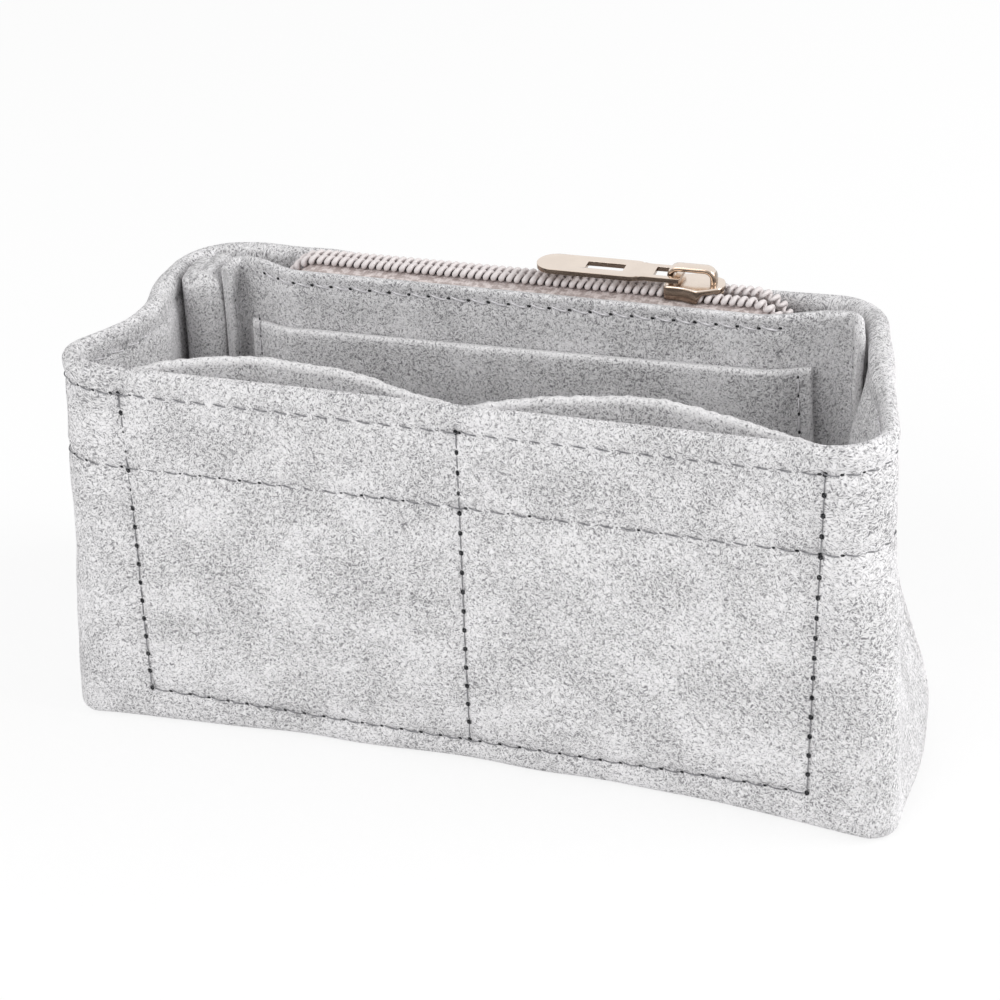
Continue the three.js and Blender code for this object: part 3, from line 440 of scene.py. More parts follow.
def times(tree, first, second):
    """The product of two sockets or numbers."""
    return math_node(tree, "MULTIPLY", first, second)


def vector_node(tree, operation, *values):
    """The result of one sum on directions or places."""
    return node(tree, "ShaderNodeVectorMath", dict(enumerate(values)), operation=operation)[0]


def mixed(tree, share, first, second):
    """Two colours mixed by a share."""
    return node(tree, "ShaderNodeMix", {0: share, 6: first, 7: second}, data_type="RGBA")[2]


def noise(tree, place, scale, detail, dimensions="3D", roughness=0.5):
    """The value and colour of a cloudy noise."""
    values = {"Vector": place, "Scale": scale, "Detail": detail, "Roughness": roughness}
    return node(tree, "ShaderNodeTexNoise", values, noise_dimensions=dimensions)


def spread(tree, value, low, high, to_low=0.0, to_high=1.0):
    """A value carried from one range to another and held at its ends."""
    values = {"Value": value, "From Min": low, "From Max": high, "To Min": to_low, "To Max": to_high}
    return node(tree, "ShaderNodeMapRange", values)[0]


def raised(tree, height, strength, distance):
    """The normals of a surface that is raised by a height, over a distance in metres."""
    return node(tree, "ShaderNodeBump", {"Height": height, "Strength": strength, "Distance": distance})[0]


def cloth_map(tree):
    """The piece's own map, in metres along the cloth."""
    return node(tree, "ShaderNodeUVMap", uv_map="cloth")[0]


def object_place(tree):
    """Places on the object, in metres."""
    return node(tree, "ShaderNodeTexCoord")["Object"]


def make_material(name, look, *colours):
    """A new material, whose surface shader gets what its look works out from the colours."""
    material = bpy.data.materials.new(name)
    material.use_nodes = True
    tree = material.node_tree
    fill(tree, tree.nodes["Principled BSDF"], look(tree, *colours))
    print(name, "has", len(tree.nodes), "nodes")
    return material


print("node helpers ready")

# %% Felt finish
FIBRE = (0.0011, 0.0003)
HAIR = (0.0042, 0.00022)
SPECK = (0.0005, 0.0005)
CURL = 0.0012


def fibres(tree, coordinates, angles, size, low, high, more=0.0):
    """A mask of short fibres: for each angle a noise that is turned, then stretched to the fibre's length and
    width. What the clouds add is added to each noise, the noise is kept where it is high, and the largest
    counts."""
    kept = None
    for angle in angles:
        turned = node(tree, "ShaderNodeMapping", {
            "Vector": coordinates, "Rotation": (0, 0, math.radians(angle)), "Scale": (*size, 1),
        }, vector_type="TEXTURE")[0]
        value = math_node(tree, "ADD", noise(tree, turned, 1.0, 1.0, "2D")[0], more)
        mask = spread(tree, value, low, high)
        kept = mask if kept is None else math_node(tree, "MAXIMUM", kept, mask)
    return kept


def felt_look(tree, pale, grey, cut_colour):
    """Felt: crossing dark and white fibres on a pale ground, gathered in faint clouds, a few long hairs, and
    paler fuzzy cut edges."""
    cloth = cloth_map(tree)
    wander = noise(tree, cloth, 420.0, 1.0, "2D")["Color"]
    centred = vector_node(tree, "SUBTRACT", wander, (0.5, 0.5, 0.5))
    curled = vector_node(tree, "ADD", cloth, vector_node(tree, "MULTIPLY", centred, (CURL, CURL, CURL)))
    cloud = noise(tree, cloth, 85.0, 3.0, "2D", 0.6)[0]
    gather = spread(tree, cloud, 0.3, 0.7, -0.05, 0.07)
    dark = fibres(tree, curled, (7, 43, 78, 116, 152), FIBRE, 0.55, 0.70, gather)
    white = fibres(tree, curled, (25, 61, 97, 134, 169), FIBRE, 0.55, 0.69)
    hairs = fibres(tree, curled, (33, 124), HAIR, 0.66, 0.74, gather)
    speck = fibres(tree, cloth, (0,), SPECK, 0.35, 0.62)
    shade = math_node(tree, "MAXIMUM", times(tree, dark, 0.92), times(tree, hairs, 0.8))
    lifted = mixed(tree, times(tree, white, 0.75), mixed(tree, shade, pale, grey), cut_colour)
    edge = node(tree, "ShaderNodeAttribute", attribute_name="cut")["Fac"]
    fluff = math_node(tree, "ADD", times(tree, white, 0.7), cloud)
    height = math_node(tree, "SUBTRACT", fluff, times(tree, dark, 0.4))
    return {
        "Base Color": mixed(tree, times(tree, edge, speck), lifted, cut_colour),
        "Normal": raised(tree, height, 0.5, 0.00022),
        "Roughness": 0.95, "Specular IOR Level": 0.15, "Sheen Weight": 0.12, "Sheen Roughness": 0.6,
    }


CUT_FELT = (0.88, 0.87, 0.875, 1)
felt = make_material("grey_felt", felt_look, (0.825, 0.815, 0.833, 1), (0.150, 0.147, 0.155, 1), CUT_FELT)
edge_felt = make_material(
    "layered_edge_felt", felt_look, (0.800, 0.790, 0.808, 1), (0.07, 0.068, 0.075, 1), CUT_FELT)

# %% [markdown]
# The outer wall is one strip of felt. It runs round all four sides, its lower edge is turned in and
# up, and its top is folded inward as a hem. A box with rounded edges would look stiff, so the strip
# is lofted: its middle line is drawn once as inset and height, and carried round the rounded
# rectangle of the rim. Two rows of stitches press the hem, and three upright rows press the front.

# %% Plan of the rim
SIDE, FRONT, ARC = 2 * SIDE_HALF, 2 * (HALF_WIDTH - CORNER), CORNER * math.pi / 2
RING_STOPS = np.cumsum([0, SIDE, ARC, FRONT, ARC, SIDE, ARC, FRONT, ARC])
RING_X = np.array([-1, -1, -1, 1, 1, 1, 1, -1, -1])
RING_Y = np.array([1, -1, -1, -1, -1, 1, 1, 1, 1])
RING_DRAWN = np.array([0, 0, 0, 0, 0, 1, 1, 0, 0])
RING_TURN = np.radians([180, 180, 270, 270, 360, 360, 450, 450, 540])
RING_SLANT = np.array([0, 0, 0, 0, 1, 1, 0, 0, 0])
FRONT_MIDDLE = (RING_STOPS[2] + RING_STOPS[3]) / 2
SHARPEST = 0.5


def plain_radius(inset, z):
    """Radius of the plain corners at an inset: eased from the rim's to the foot's."""
    return CORNER + (FOOT_CORNER - CORNER) * drop(z) - inset


def plan_corners(inset, z):
    """Radius and centre of the plain corners, then what the rear right corner has more in radius, how far
    its centre lies further in, and the slant of the side: the direction square to the line that touches
    both right corners, which is the angle between their centres less the angle of the touching radius."""
    plain = plain_radius(inset, z)
    radius = np.maximum(plain, SHARPEST)
    more = np.maximum(plain + rear_round(z), SHARPEST) - radius
    centre_x, centre_y = HALF_WIDTH - inset - radius, HALF_DEPTH - inset - radius
    across, deep = -more - drawn_in(z), 2 * centre_y - more
    slant = np.arctan2(deep, across) - np.arccos(-more / np.hypot(across, deep))
    return radius, centre_x, centre_y, more, across, slant


def rim_plan(run, inset, z):
    """Rounded rectangle: a point that runs along the straight sides of the inner rectangle and waits at
    its corners, plus the corner radius in a direction that turns while it waits. The rear right corner is
    rounder and drawn in, so the right side and its direction slant."""
    radius, centre_x, centre_y, more, across, slant = plan_corners(inset, z)
    turn = np.interp(run, RING_STOPS, RING_TURN) + slant * np.interp(run, RING_STOPS, RING_SLANT)
    drawn = np.interp(run, RING_STOPS, RING_DRAWN)
    x = np.interp(run, RING_STOPS, RING_X) * centre_x + drawn * across
    y = np.interp(run, RING_STOPS, RING_Y) * centre_y - drawn * more
    reach = radius + drawn * more
    return x + reach * np.cos(turn), y + reach * np.sin(turn)


def right_x(y, inset, z):
    """Place of the right wall's face at a depth: on the straight slant, or on the rear corner's arc."""
    radius, centre_x, centre_y, more, across, slant = plan_corners(inset, z)
    over, reach = y - centre_y + more, radius + more
    straight = centre_x + (radius - (y + centre_y) * np.sin(slant)) / np.cos(slant)
    curved = centre_x + across + np.sqrt(np.maximum(reach**2 - over**2, 0))
    return np.where(over > reach * np.sin(slant), curved, straight)


def wall_point(run, inset, z):
    """Point of the wall at a run round the rim, an inset from the outer face and a height."""
    x, y = rim_plan(run, inset, z)
    points = flared(x, y + bow(x, y, z), z)
    points[..., 2] = sagged(x, y, z)
    return points


print("the rim runs", round(RING_STOPS[-1], 1), "mm round")

# %% Outer wall shape
TURN_RADIUS = 1.3
TURN_Z = FELT / 2 + TURN_RADIUS
SEAM_OFFSETS = np.array([-64, -61.5, -59, 1, 61, 63.5, 66])


def arc(centre, radius, start, end, count):
    """Inset and height on an arc between two angles in degrees."""
    turn = np.radians(np.linspace(start, end, count))
    return np.stack([centre[0] + radius * np.cos(turn), centre[1] + radius * np.sin(turn)], 1)


def upright_strip(inset, heights):
    """Inset and height of a straight part of the felt."""
    return np.stack([np.full_like(heights, inset), heights], 1)


foot_rows = (POCKET_ROW - POCKET_DIP, POCKET_ROW - POCKET_DIP / 4)
wall_heights = spaced(BOTTOM_RADIUS, HEIGHT - FOLD, 1.3, 0.45, (*foot_rows, LOWER_ROW, UPPER_ROW), 2.0)
hem_heights = spaced(HEIGHT - FOLD, HEM_END, 1.5, 0.5, (UPPER_ROW, LOWER_ROW), 1.8)
wall_line = np.concatenate([
    upright_strip(WALL_TURN + FELT / 2, np.linspace(ALLOWANCE, TURN_Z, 5)),
    arc((WALL_TURN + FELT / 2 - TURN_RADIUS, TURN_Z), TURN_RADIUS, 0, -90, 6)[1:],
    arc((BOTTOM_RADIUS, BOTTOM_RADIUS), BOTTOM_RADIUS - FELT / 2, 270, 180, 8)[:-1],
    upright_strip(FELT / 2, wall_heights),
    arc((FOLD, HEIGHT - FOLD), FOLD - FELT / 2, 180, 0, 13)[1:-1],
    upright_strip(HEM - FELT / 2, hem_heights),
])
wall_runs = spaced(0, RING_STOPS[-1], 1.35, 0.55, FRONT_MIDDLE + SEAM_OFFSETS, 1.7)[:-1]
wall_grid = wall_point(wall_runs[:, None], wall_line[None, :, 0], wall_line[None, :, 1])
print("outer wall grid", wall_grid.shape[:2])

# %% [markdown]
# Stitches pull felt in along a soft groove and leave it puffed between the rows. The groove is a bell
# curve of the distance to the row, a little deeper at each needle hole. A few long waves, the sum of
# sines with fixed phases, keep the large faces from looking machined.

# %% Press of the seams on the outer wall
GROOVE = 1.2
UPRIGHT_GROOVE = 1.5
PITCH_OF_STITCH = 4.0
NEEDLE_SHARE = 0.22
ROW_PRESS = 0.5
UPRIGHT_PRESS = 0.62
WALL_SLACK = 0.22
HEM_PRESS = 1.3
LOW_HEM_SHARE = 0.45
HELD_Y = (-8.0, 3.0)
HELD_X = (50.0, 60.0)


def soft_waves(across, down, seed, longest=34.0):
    """Sum of twelve sines in fixed random directions, about -1 to 1: the slack of hand cut felt."""
    random = np.random.default_rng(seed)
    total = np.zeros(np.broadcast(across, down).shape)
    for _ in range(12):
        angle, phase = random.uniform(0, 2 * math.pi, 2)
        wave = 2 * math.pi / (longest * random.uniform(0.25, 1.0))
        total += np.sin(wave * (math.cos(angle) * across + math.sin(angle) * down) + phase)
    return total / 6


def hem_press(z):
    """How far the folded hem is pressed flat at a height: about half of it low down, all of it at the rim."""
    return HEM_PRESS * (LOW_HEM_SHARE + (1 - LOW_HEM_SHARE) * ease(HEM_END, HEIGHT - 6, z))


wall_x, wall_y = wall_grid[..., 0], wall_grid[..., 1]
wall_inset, wall_height = (np.broadcast_to(wall_line[:, k], wall_x.shape) for k in (0, 1))
on_wall = wall_inset < FOLD
on_front = on_wall & (wall_y < -HALF_DEPTH * 0.6)
needle = 1 - NEEDLE_SHARE + NEEDLE_SHARE * np.cos(2 * math.pi * wall_runs[:, None] / PITCH_OF_STITCH)
hem_rows = bell(wall_height - UPPER_ROW, GROOVE) + bell(wall_height - LOWER_ROW, GROOVE)
wall_press = np.where(wall_height > HEM_END - 2, ROW_PRESS * needle * hem_rows, 0)
folded = ease(FOLD - 0.6, HEM - FELT / 2, wall_inset) * (wall_height > HEM_END - 1)
held_flat = 1 - ease(*HELD_Y, wall_y) * ease(*HELD_X, np.abs(wall_x))
wall_press = wall_press + hem_press(wall_height) * folded * held_flat
pocket_share = (wall_x - POCKET_MIDDLE) / POCKET_HALF
foot_line = POCKET_ROW - POCKET_DIP * np.maximum(1 - pocket_share**2, 0)
sewn = ease(foot_line - 1.5, foot_line, wall_height) * on_front
for offset in (-POCKET_HALF, 0, POCKET_HALF):
    wall_press = wall_press + UPRIGHT_PRESS * bell(wall_x - POCKET_MIDDLE - offset, UPRIGHT_GROOVE) * sewn
under_pockets = ease(1.015, 0.985, np.abs(pocket_share)) * on_front
wall_press = wall_press + ROW_PRESS * bell(wall_height - foot_line, GROOVE) * under_pockets
wall_press = wall_press - WALL_SLACK * soft_waves(wall_runs[:, None], wall_height, 3) * on_wall
wall_cut = np.arange(len(wall_line)) > len(wall_line) - 3
outer_wall = layer_mesh("felt_outer_wall", wall_grid, FELT, True, wall_press, 0.0, wall_cut)
dress(outer_wall, "organizer", "felt", ["outer_wall"], felt)

# %% [markdown]
# The base is a felt panel with its edge turned up inside the wall. A disc of rings from the middle to
# the edge would crowd the middle, so the same rounded rectangle is shrunk towards a line and then
# turned up at the edge.

# %% Base panel
BASE_SLACK = 0.125
BASE_Z = FELT / 2
base_share = np.linspace(0.002, 1, 22)
edge_line = np.concatenate([
    arc((BASE_INSET + FELT / 2 + TURN_RADIUS, TURN_Z), TURN_RADIUS, 270, 180, 6),
    upright_strip(BASE_INSET + FELT / 2, np.linspace(TURN_Z + GAP, ALLOWANCE, 6)),
])
base_runs = np.linspace(0, RING_STOPS[-1], 221)[:-1, None]
rim_x, rim_y = rim_plan(base_runs, edge_line[None, :1, 0], edge_line[None, :1, 1])
rim_y = rim_y + bow(rim_x, rim_y, BASE_Z)
flat_x, flat_y = rim_x * base_share, rim_y * base_share
base_grid = np.concatenate([
    flared(flat_x, flat_y, np.full_like(flat_x, BASE_Z)),
    wall_point(base_runs, edge_line[None, 1:, 0], edge_line[None, 1:, 1]),
], axis=1)
base_waves = 1 + soft_waves(base_grid[..., 0], base_grid[..., 1], 8)
base_grid[..., 2] += BASE_SLACK * base_waves * (base_grid[..., 2] < BASE_Z + 0.5)
base_cut = np.arange(base_grid.shape[1]) > base_grid.shape[1] - 3
base_panel = layer_mesh("felt_base_panel", base_grid, FELT, True, 0.0, 0.0, base_cut)
dress(base_panel, "organizer", "felt", ["base_panel"], felt)

# %% [markdown]
# The front pockets are one strip of felt sewn inside the front wall at the left, the middle and the
# right. It is longer than the wall between its seams, so it stands off the wall in two lobes. Each
# lobe is half a sine wave across the width that opens towards the top, and its top edge is left raw.

# %% Shape of the front pockets
POCKET_BULGE = 6.0
POCKET_EDGE = POCKET_HALF + 3.0
LEFT_LOBE, RIGHT_LOBE = 1.3, 0.9


def front_depth(x, inset, z):
    """Depth of the front face in the rim plan: straight in the middle, a quarter circle at each end."""
    radius = np.maximum(plain_radius(inset, z), SHARPEST)
    over = np.maximum(np.abs(x) - (HALF_WIDTH - inset - radius), 0)
    return -(HALF_DEPTH - inset - radius) - np.sqrt(np.maximum(radius**2 - over**2, 0))


def front_point(x, inset, z):
    """Point of the front wall that keeps its own place across the width at every height."""
    across = x / lean(z)[0]
    y = front_depth(across, inset, z)
    return flared(across, y + bow(across, y, z), z)


def pocket_lobe(x):
    """Half a sine wave over each pocket, of a share of its width raised to a power, which moves its peak
    sideways."""
    share = np.minimum(np.abs(x - POCKET_MIDDLE) / POCKET_HALF, 1)
    return np.maximum(np.sin(math.pi * share ** np.where(x < POCKET_MIDDLE, LEFT_LOBE, RIGHT_LOBE)), 0)


def pocket_inset(x, z):
    """Inset of the pocket's outer face: behind the hem at the top, on the wall below it, plus the lobe."""
    seat = FELT + GAP + (HEM - FELT) * ease(HEM_END - 9, HEM_END - 1, z)
    rise = np.maximum((z - ALLOWANCE - 1) / (POCKET_TOP - ALLOWANCE - 1), 0)
    return seat + POCKET_BULGE * pocket_lobe(x) * rise**0.6


lobes = pocket_inset(np.array([-POCKET_HALF, POCKET_HALF]) / 2, POCKET_TOP)
print("the pockets stand", np.round(lobes, 1), "mm behind the front")

# %% Raw edges
EDGE_MARGIN = 1.4
EDGE_PLACES = np.array([0, 0.3, 0.8])
EDGE_ROUND = np.array([0.36, 0.68, 0.9])


def edge_taper(count):
    """Share of the full thickness across a panel: full inside, rounded off at its raw edges."""
    return np.concatenate([EDGE_ROUND, np.ones(count - 6), EDGE_ROUND[::-1]])


def felt_thickness(grid):
    """Thickness of a felt panel over its grid, rounded off at all four edges."""
    return FELT * np.outer(*(edge_taper(count) for count in grid.shape[:2]))


def with_raw_edge(start, end, inner):
    """Places from start to end with three close ones at each end, so that a raw edge can be rounded."""
    return np.concatenate([start + EDGE_PLACES, inner, end - EDGE_PLACES[::-1]])


def raw_edged(start, end, *spacing):
    """The same, with the inner places set out by a spacing."""
    return with_raw_edge(start, end, spaced(start + EDGE_MARGIN, end - EDGE_MARGIN, *spacing))


print("thickness of a raw edge:", FELT * EDGE_ROUND, "mm")

# %% Front pockets
POCKET_LOW = 2.6
LEFT_LOW, RIGHT_LOW = 0.6, 1.1
EDGE_WAVES = 0.45
EDGE_NICKS = 0.22
pocket_x = raw_edged(POCKET_MIDDLE - POCKET_EDGE, POCKET_MIDDLE + POCKET_EDGE, 0.55)
pocket_z = raw_edged(BOTTOM_RADIUS + GAP, POCKET_TOP, 1.4)
lobe_power = np.where(pocket_x < POCKET_MIDDLE, LEFT_LOW, RIGHT_LOW)
pocket_low = POCKET_LOW * (1 - pocket_lobe(pocket_x) ** lobe_power)
pocket_low = pocket_low - EDGE_WAVES * soft_waves(pocket_x, 0 * pocket_x, 12, 30.0)
pocket_nicks = EDGE_NICKS * soft_waves(pocket_x, 0 * pocket_x, 77, 4.0)
pocket_rise = pocket_z - pocket_low[:, None] * ease(55, POCKET_TOP, pocket_z)
pocket_rise += pocket_nicks[:, None] * ease(POCKET_TOP - 1, POCKET_TOP, pocket_z)
pocket_middle = pocket_inset(pocket_x[:, None], pocket_rise) + FELT / 2
pocket_grid = front_point(pocket_x[:, None], pocket_middle, pocket_rise)
front_pockets = layer_mesh(
    "felt_front_pockets", pocket_grid, felt_thickness(pocket_grid), cut=pocket_z > POCKET_TOP - 0.9)
dress(front_pockets, "organizer", "felt", ["front_pocket_panel"], felt)

# %% [markdown]
# The zipped pocket's own front is a panel across the rear. It bows forward where the zipper holds the
# pocket open and its ends are turned forward and sewn to the side walls. Its plan is drawn as one
# line of straight parts, quarter turns and the bow, and carried up the height.

# %% Shape of the zip pocket panel
CORNER_FOLD = 8.8
FOLD_LEFT = -HALF_WIDTH + HEM + GAP
PANEL_LEFT = FOLD_LEFT + CORNER_FOLD + GAP + FELT / 2
PANEL_BEND = 2.5
PANEL_START = PANEL_LEFT + PANEL_BEND
PANEL_TOP = HEIGHT + 1.5
PANEL_MIDDLE = ZIP_Y - ZIP_HALF_GAP - FELT / 2
PANEL_BACK = HALF_DEPTH - BASE_INSET - 1.5 * FELT - 2 * GAP
BEND_Y = PANEL_BACK - PANEL_BEND
PANEL_TURN = 7.0
PANEL_FRONT = BEND_Y - PANEL_TURN
LEFT_AHEAD = 0.4
LEFT_TURN_SHARE = 0.45
LOW_TURN_SHARE = 0.25


def panel_right(y, z):
    """Where the panel's right end lies along the slanting right wall: straight from its bend to its edge."""
    share = (y - PANEL_FRONT) / PANEL_TURN
    edge, bend = right_x(PANEL_FRONT, HEM, z), right_x(BEND_Y, HEM, z)
    return edge + (bend - edge) * share - GAP - FELT / 2


def flange_width(z):
    """Width of the panel's turned right end: full at the rim, a quarter of it low down."""
    return PANEL_TURN * (LOW_TURN_SHARE + (1 - LOW_TURN_SHARE) * ease(HEIGHT / 2, HEIGHT, z))


def panel_end(z):
    """Right end of the panel's main run, before its quarter turn."""
    return panel_right(BEND_Y, z) - PANEL_BEND


def panel_depth(x, z):
    """Depth of the panel's middle surface: forward along the zipper, eased back to its ends."""
    end = np.where(x < 0, -PANEL_START, panel_end(z))
    back = np.where(x < 0, PANEL_BACK - LEFT_AHEAD, PANEL_BACK)
    return PANEL_MIDDLE + (back - PANEL_MIDDLE) * ease(CHAIN_HALF + 2, end, np.abs(x))


def panel_place(x, z):
    """A place along the panel at the rim, carried to a height: the run stretches with the drawn-in wall."""
    stretch = (panel_end(z) - PANEL_START) / (panel_end(HEIGHT) - PANEL_START)
    return PANEL_START + (x - PANEL_START) * stretch


def panel_point(x, ahead, z):
    """Point a distance ahead of the panel's middle surface, measured square to it."""
    place = panel_place(x, z)
    slope = (panel_depth(place + 0.01, z) - panel_depth(place - 0.01, z)) / 0.02
    size = np.sqrt(1 + slope**2)
    return flared(place + ahead * slope / size, panel_depth(place, z) - ahead / size, z)


PANEL_RIGHT = float(panel_right(BEND_Y, HEIGHT))
print("zip pocket panel from", round(PANEL_LEFT, 1), "to", round(PANEL_RIGHT, 1), "mm")

# %% Zip pocket panel
PANEL_RUN = 75.0
ZIP_ROW = PANEL_TOP - 2.4
ZIP_SEAM_LEFT, ZIP_SEAM_RIGHT = PANEL_LEFT + 7.3, PANEL_RIGHT - 14.3
ZIP_PRESS = 0.4
PANEL_SLACK = 0.2
turn_y = with_raw_edge(PANEL_FRONT, BEND_Y, np.linspace(PANEL_FRONT + 1.5, BEND_Y - 1.2, 5))
quarter = np.radians(np.linspace(0, 90, 8))[1:-1]
run_x = spaced(PANEL_START, PANEL_RIGHT - PANEL_BEND, 1.3)
turned = len(turn_y) + len(quarter)
rim_places = np.concatenate([np.full(turned, PANEL_LEFT), run_x, np.full(turned, PANEL_RIGHT + DRAW_IN)])
clear_x = HALF_WIDTH - BASE_INSET - FELT - 4
panel_foot = FELT + GAP + (ALLOWANCE - FELT) * ease(clear_x - 5, clear_x, np.abs(rim_places) + 1)
seam_share = spaced(1.5, PANEL_RUN - 1.5, 1.5, 0.6, (PANEL_RUN - 2.3,), 2.0)
panel_share = with_raw_edge(0, PANEL_RUN, seam_share) / PANEL_RUN
panel_z = panel_foot[:, None] + (PANEL_TOP - panel_foot[:, None]) * panel_share
left_z, run_z, right_z = np.split(panel_z, [turned, turned + len(run_x)])
left_x = np.concatenate([np.full_like(turn_y, PANEL_LEFT), PANEL_START - PANEL_BEND * np.cos(quarter)])
left_y = [BEND_Y - LEFT_TURN_SHARE * (BEND_Y - turn_y), BEND_Y + PANEL_BEND * np.sin(quarter)]
left_y = np.concatenate(left_y) - LEFT_AHEAD
turned_z, flange_z = np.split(right_z, [len(quarter)])
turned_x = panel_end(turned_z) + PANEL_BEND * np.sin(quarter)[:, None]
turned_y = np.broadcast_to((BEND_Y + PANEL_BEND * np.cos(quarter))[:, None], turned_x.shape)
flange_share = (BEND_Y - turn_y[::-1]) / PANEL_TURN
flange_y = BEND_Y - flange_share[:, None] * flange_width(flange_z)
flange_x = panel_right(flange_y, flange_z)
panel_grid = np.concatenate([
    flared(left_x[:, None], left_y[:, None], left_z),
    panel_point(run_x[:, None], 0.0, run_z),
    flared(np.concatenate([turned_x, flange_x]), np.concatenate([turned_y, flange_y]), right_z),
])
along_seam = ease(ZIP_SEAM_LEFT - 2, ZIP_SEAM_LEFT, rim_places)
along_seam = along_seam * ease(ZIP_SEAM_RIGHT + 2, ZIP_SEAM_RIGHT, rim_places)
panel_press = ZIP_PRESS * bell(panel_z - ZIP_ROW, GROOVE) * along_seam[:, None]
panel_press = panel_press - PANEL_SLACK * soft_waves(rim_places[:, None], panel_z, 21)
panel_cut = np.zeros((len(rim_places), 1))
panel_cut[:2] = panel_cut[-2:] = 0.6
zip_panel = layer_mesh(
    "felt_zip_pocket_panel", panel_grid, felt_thickness(panel_grid), False, panel_press, 0.0, panel_cut)
dress(zip_panel, "organizer", "felt", ["zip_pocket_panel"], felt)

# %% [markdown]
# A flat slip pocket is sewn to the front of that panel along its two sides and its foot. It follows
# the panel at one felt thickness, and gapes a little at the top between its seams.

# %% Slip pocket
SLIP_LEFT = PANEL_LEFT + 4.5
SLIP_RIGHT = PANEL_RIGHT - 9.2
SLIP_TOP = PANEL_TOP - 10.8
SLIP_FOOT = 12.0
SLIP_SEAM = 2.5
SLIP_AHEAD = FELT + GAP
SLIP_GAPE = 0.4
SLIP_TILT = 0.6
SLIP_DROOP = 1.0
SLIP_PRESS = 0.45
SLIP_SLACK = 0.15
seam_left, seam_right, seam_foot = SLIP_LEFT + SLIP_SEAM, SLIP_RIGHT - SLIP_SEAM, SLIP_FOOT + SLIP_SEAM
slip_x = raw_edged(SLIP_LEFT, SLIP_RIGHT, 1.3, 0.6, (seam_left, seam_right), 2.0)
slip_z = raw_edged(SLIP_FOOT, SLIP_TOP, 1.5)
slip_half = (SLIP_RIGHT - SLIP_LEFT) / 2
slip_share = (slip_x - SLIP_LEFT) / slip_half - 1
gape = SLIP_GAPE * np.cos(math.pi / 2 * slip_share)
tilt = SLIP_TILT * np.sin(math.pi / 2 * slip_share) - SLIP_DROOP * ease(SLIP_LEFT + 15, SLIP_LEFT, slip_x)
slip_rise = slip_z + tilt[:, None] * ease(45, SLIP_TOP, slip_z)
slip_ahead = SLIP_AHEAD + gape[:, None] * ease(25, SLIP_TOP, slip_z) ** 2
slip_grid = panel_point(slip_x[:, None], slip_ahead, slip_rise)
side_rows = bell(slip_x - seam_left, GROOVE) + bell(slip_x - seam_right, GROOVE)
slip_press = SLIP_PRESS * np.maximum(side_rows[:, None], bell(slip_z - seam_foot, GROOVE))
slip_press = slip_press - SLIP_SLACK * soft_waves(slip_x[:, None], slip_z, 30)
slip_cut = (slip_z > SLIP_TOP - 0.5) | (slip_half * (1 - np.abs(slip_share)) < 0.9)[:, None]
slip_pocket = layer_mesh(
    "felt_slip_pocket", slip_grid, felt_thickness(slip_grid), False, slip_press, 0.0, slip_cut)
dress(slip_pocket, "organizer", "felt", ["slip_pocket_panel"], felt)

# %% [markdown]
# In the rear left corner the end of the wall strip is doubled, comes forward along the wall and folds
# back on itself beside the panel, so a thick rounded stripe shows there. Its plan is a hairpin: two
# straight legs and half a circle, with only a slit between the legs.

# %% Corner fold
FOLD_PRESS = 1.3
FOLD_SLACK = 0.25
FOLD_BACK_PRESS = -0.13
fold_thick = (CORNER_FOLD - GAP) / 2
fold_radius = (CORNER_FOLD + GAP) / 4
fold_middle = FOLD_LEFT + CORNER_FOLD / 2
fold_bend = PANEL_FRONT + CORNER_FOLD / 2
half_turn = np.radians(np.linspace(180, 360, 17))
leg_ends = SIDE_HALF + 0.5 * (CORNER_FOLD / 2 + np.array([-1, 1]) * fold_radius)
leg_share = np.array([1.0, 0.9, 0.7, 0.5, 0.3, 0.15])
fold_x = np.concatenate([
    np.full_like(leg_share, fold_middle - fold_radius),
    fold_middle + fold_radius * np.cos(half_turn),
    np.full_like(leg_share, fold_middle + fold_radius),
])
fold_y = np.concatenate([
    fold_bend + (leg_ends[0] - fold_bend) * leg_share,
    fold_bend + fold_radius * np.sin(half_turn),
    fold_bend + (leg_ends[1] - fold_bend) * leg_share[::-1],
])
fold_z = with_raw_edge(ALLOWANCE + GAP, HEIGHT, spaced(ALLOWANCE + 1.7, HEIGHT - 1.7, 1.5))
fold_grid = flared(fold_x[:, None], fold_y[:, None], fold_z)
fold_press = FOLD_PRESS * ease(HEIGHT - 2.6, HEIGHT, fold_z) ** 2
fold_press = fold_press - FOLD_SLACK * soft_waves(fold_x[:, None], fold_z, 44)
corner_fold = layer_mesh(
    "felt_corner_fold", fold_grid, fold_thick, False, fold_press, FOLD_BACK_PRESS, cut=0.3)
dress(corner_fold, "organizer", "felt", ["corner_seam_fold"], edge_felt)

# %% [markdown]
# The rows of stitches are real threads. A machine makes each one dive into a needle hole, run a few
# millimetres and dive again, so a dashed texture would look painted on. Every stitch is a short tube
# whose path rises out of one hole and sinks into the next, and each hole is a small cap painted dark:
# painted shade that stands in for the shade inside the hole.

# %% Thread and needle hole finishes
def bands(tree, place, scale, distortion, direction):
    """The value of soft bands across one direction."""
    values = {"Vector": place, "Scale": scale, "Distortion": distortion, "Detail": 1.0}
    return node(tree, "ShaderNodeTexWave", values, bands_direction=direction)["Fac"]


def thread_look(tree, colour, shadow):
    """Twisted thread: bands across the run from its own map, with painted shade in the grooves of the twist.
    """
    twist = bands(tree, cloth_map(tree), 320.0, 1.5, "DIAGONAL")
    return {
        "Base Color": mixed(tree, twist, shadow, colour), "Normal": raised(tree, twist, 0.4, 0.00008),
        "Roughness": 0.7, "Specular IOR Level": 0.3,
    }


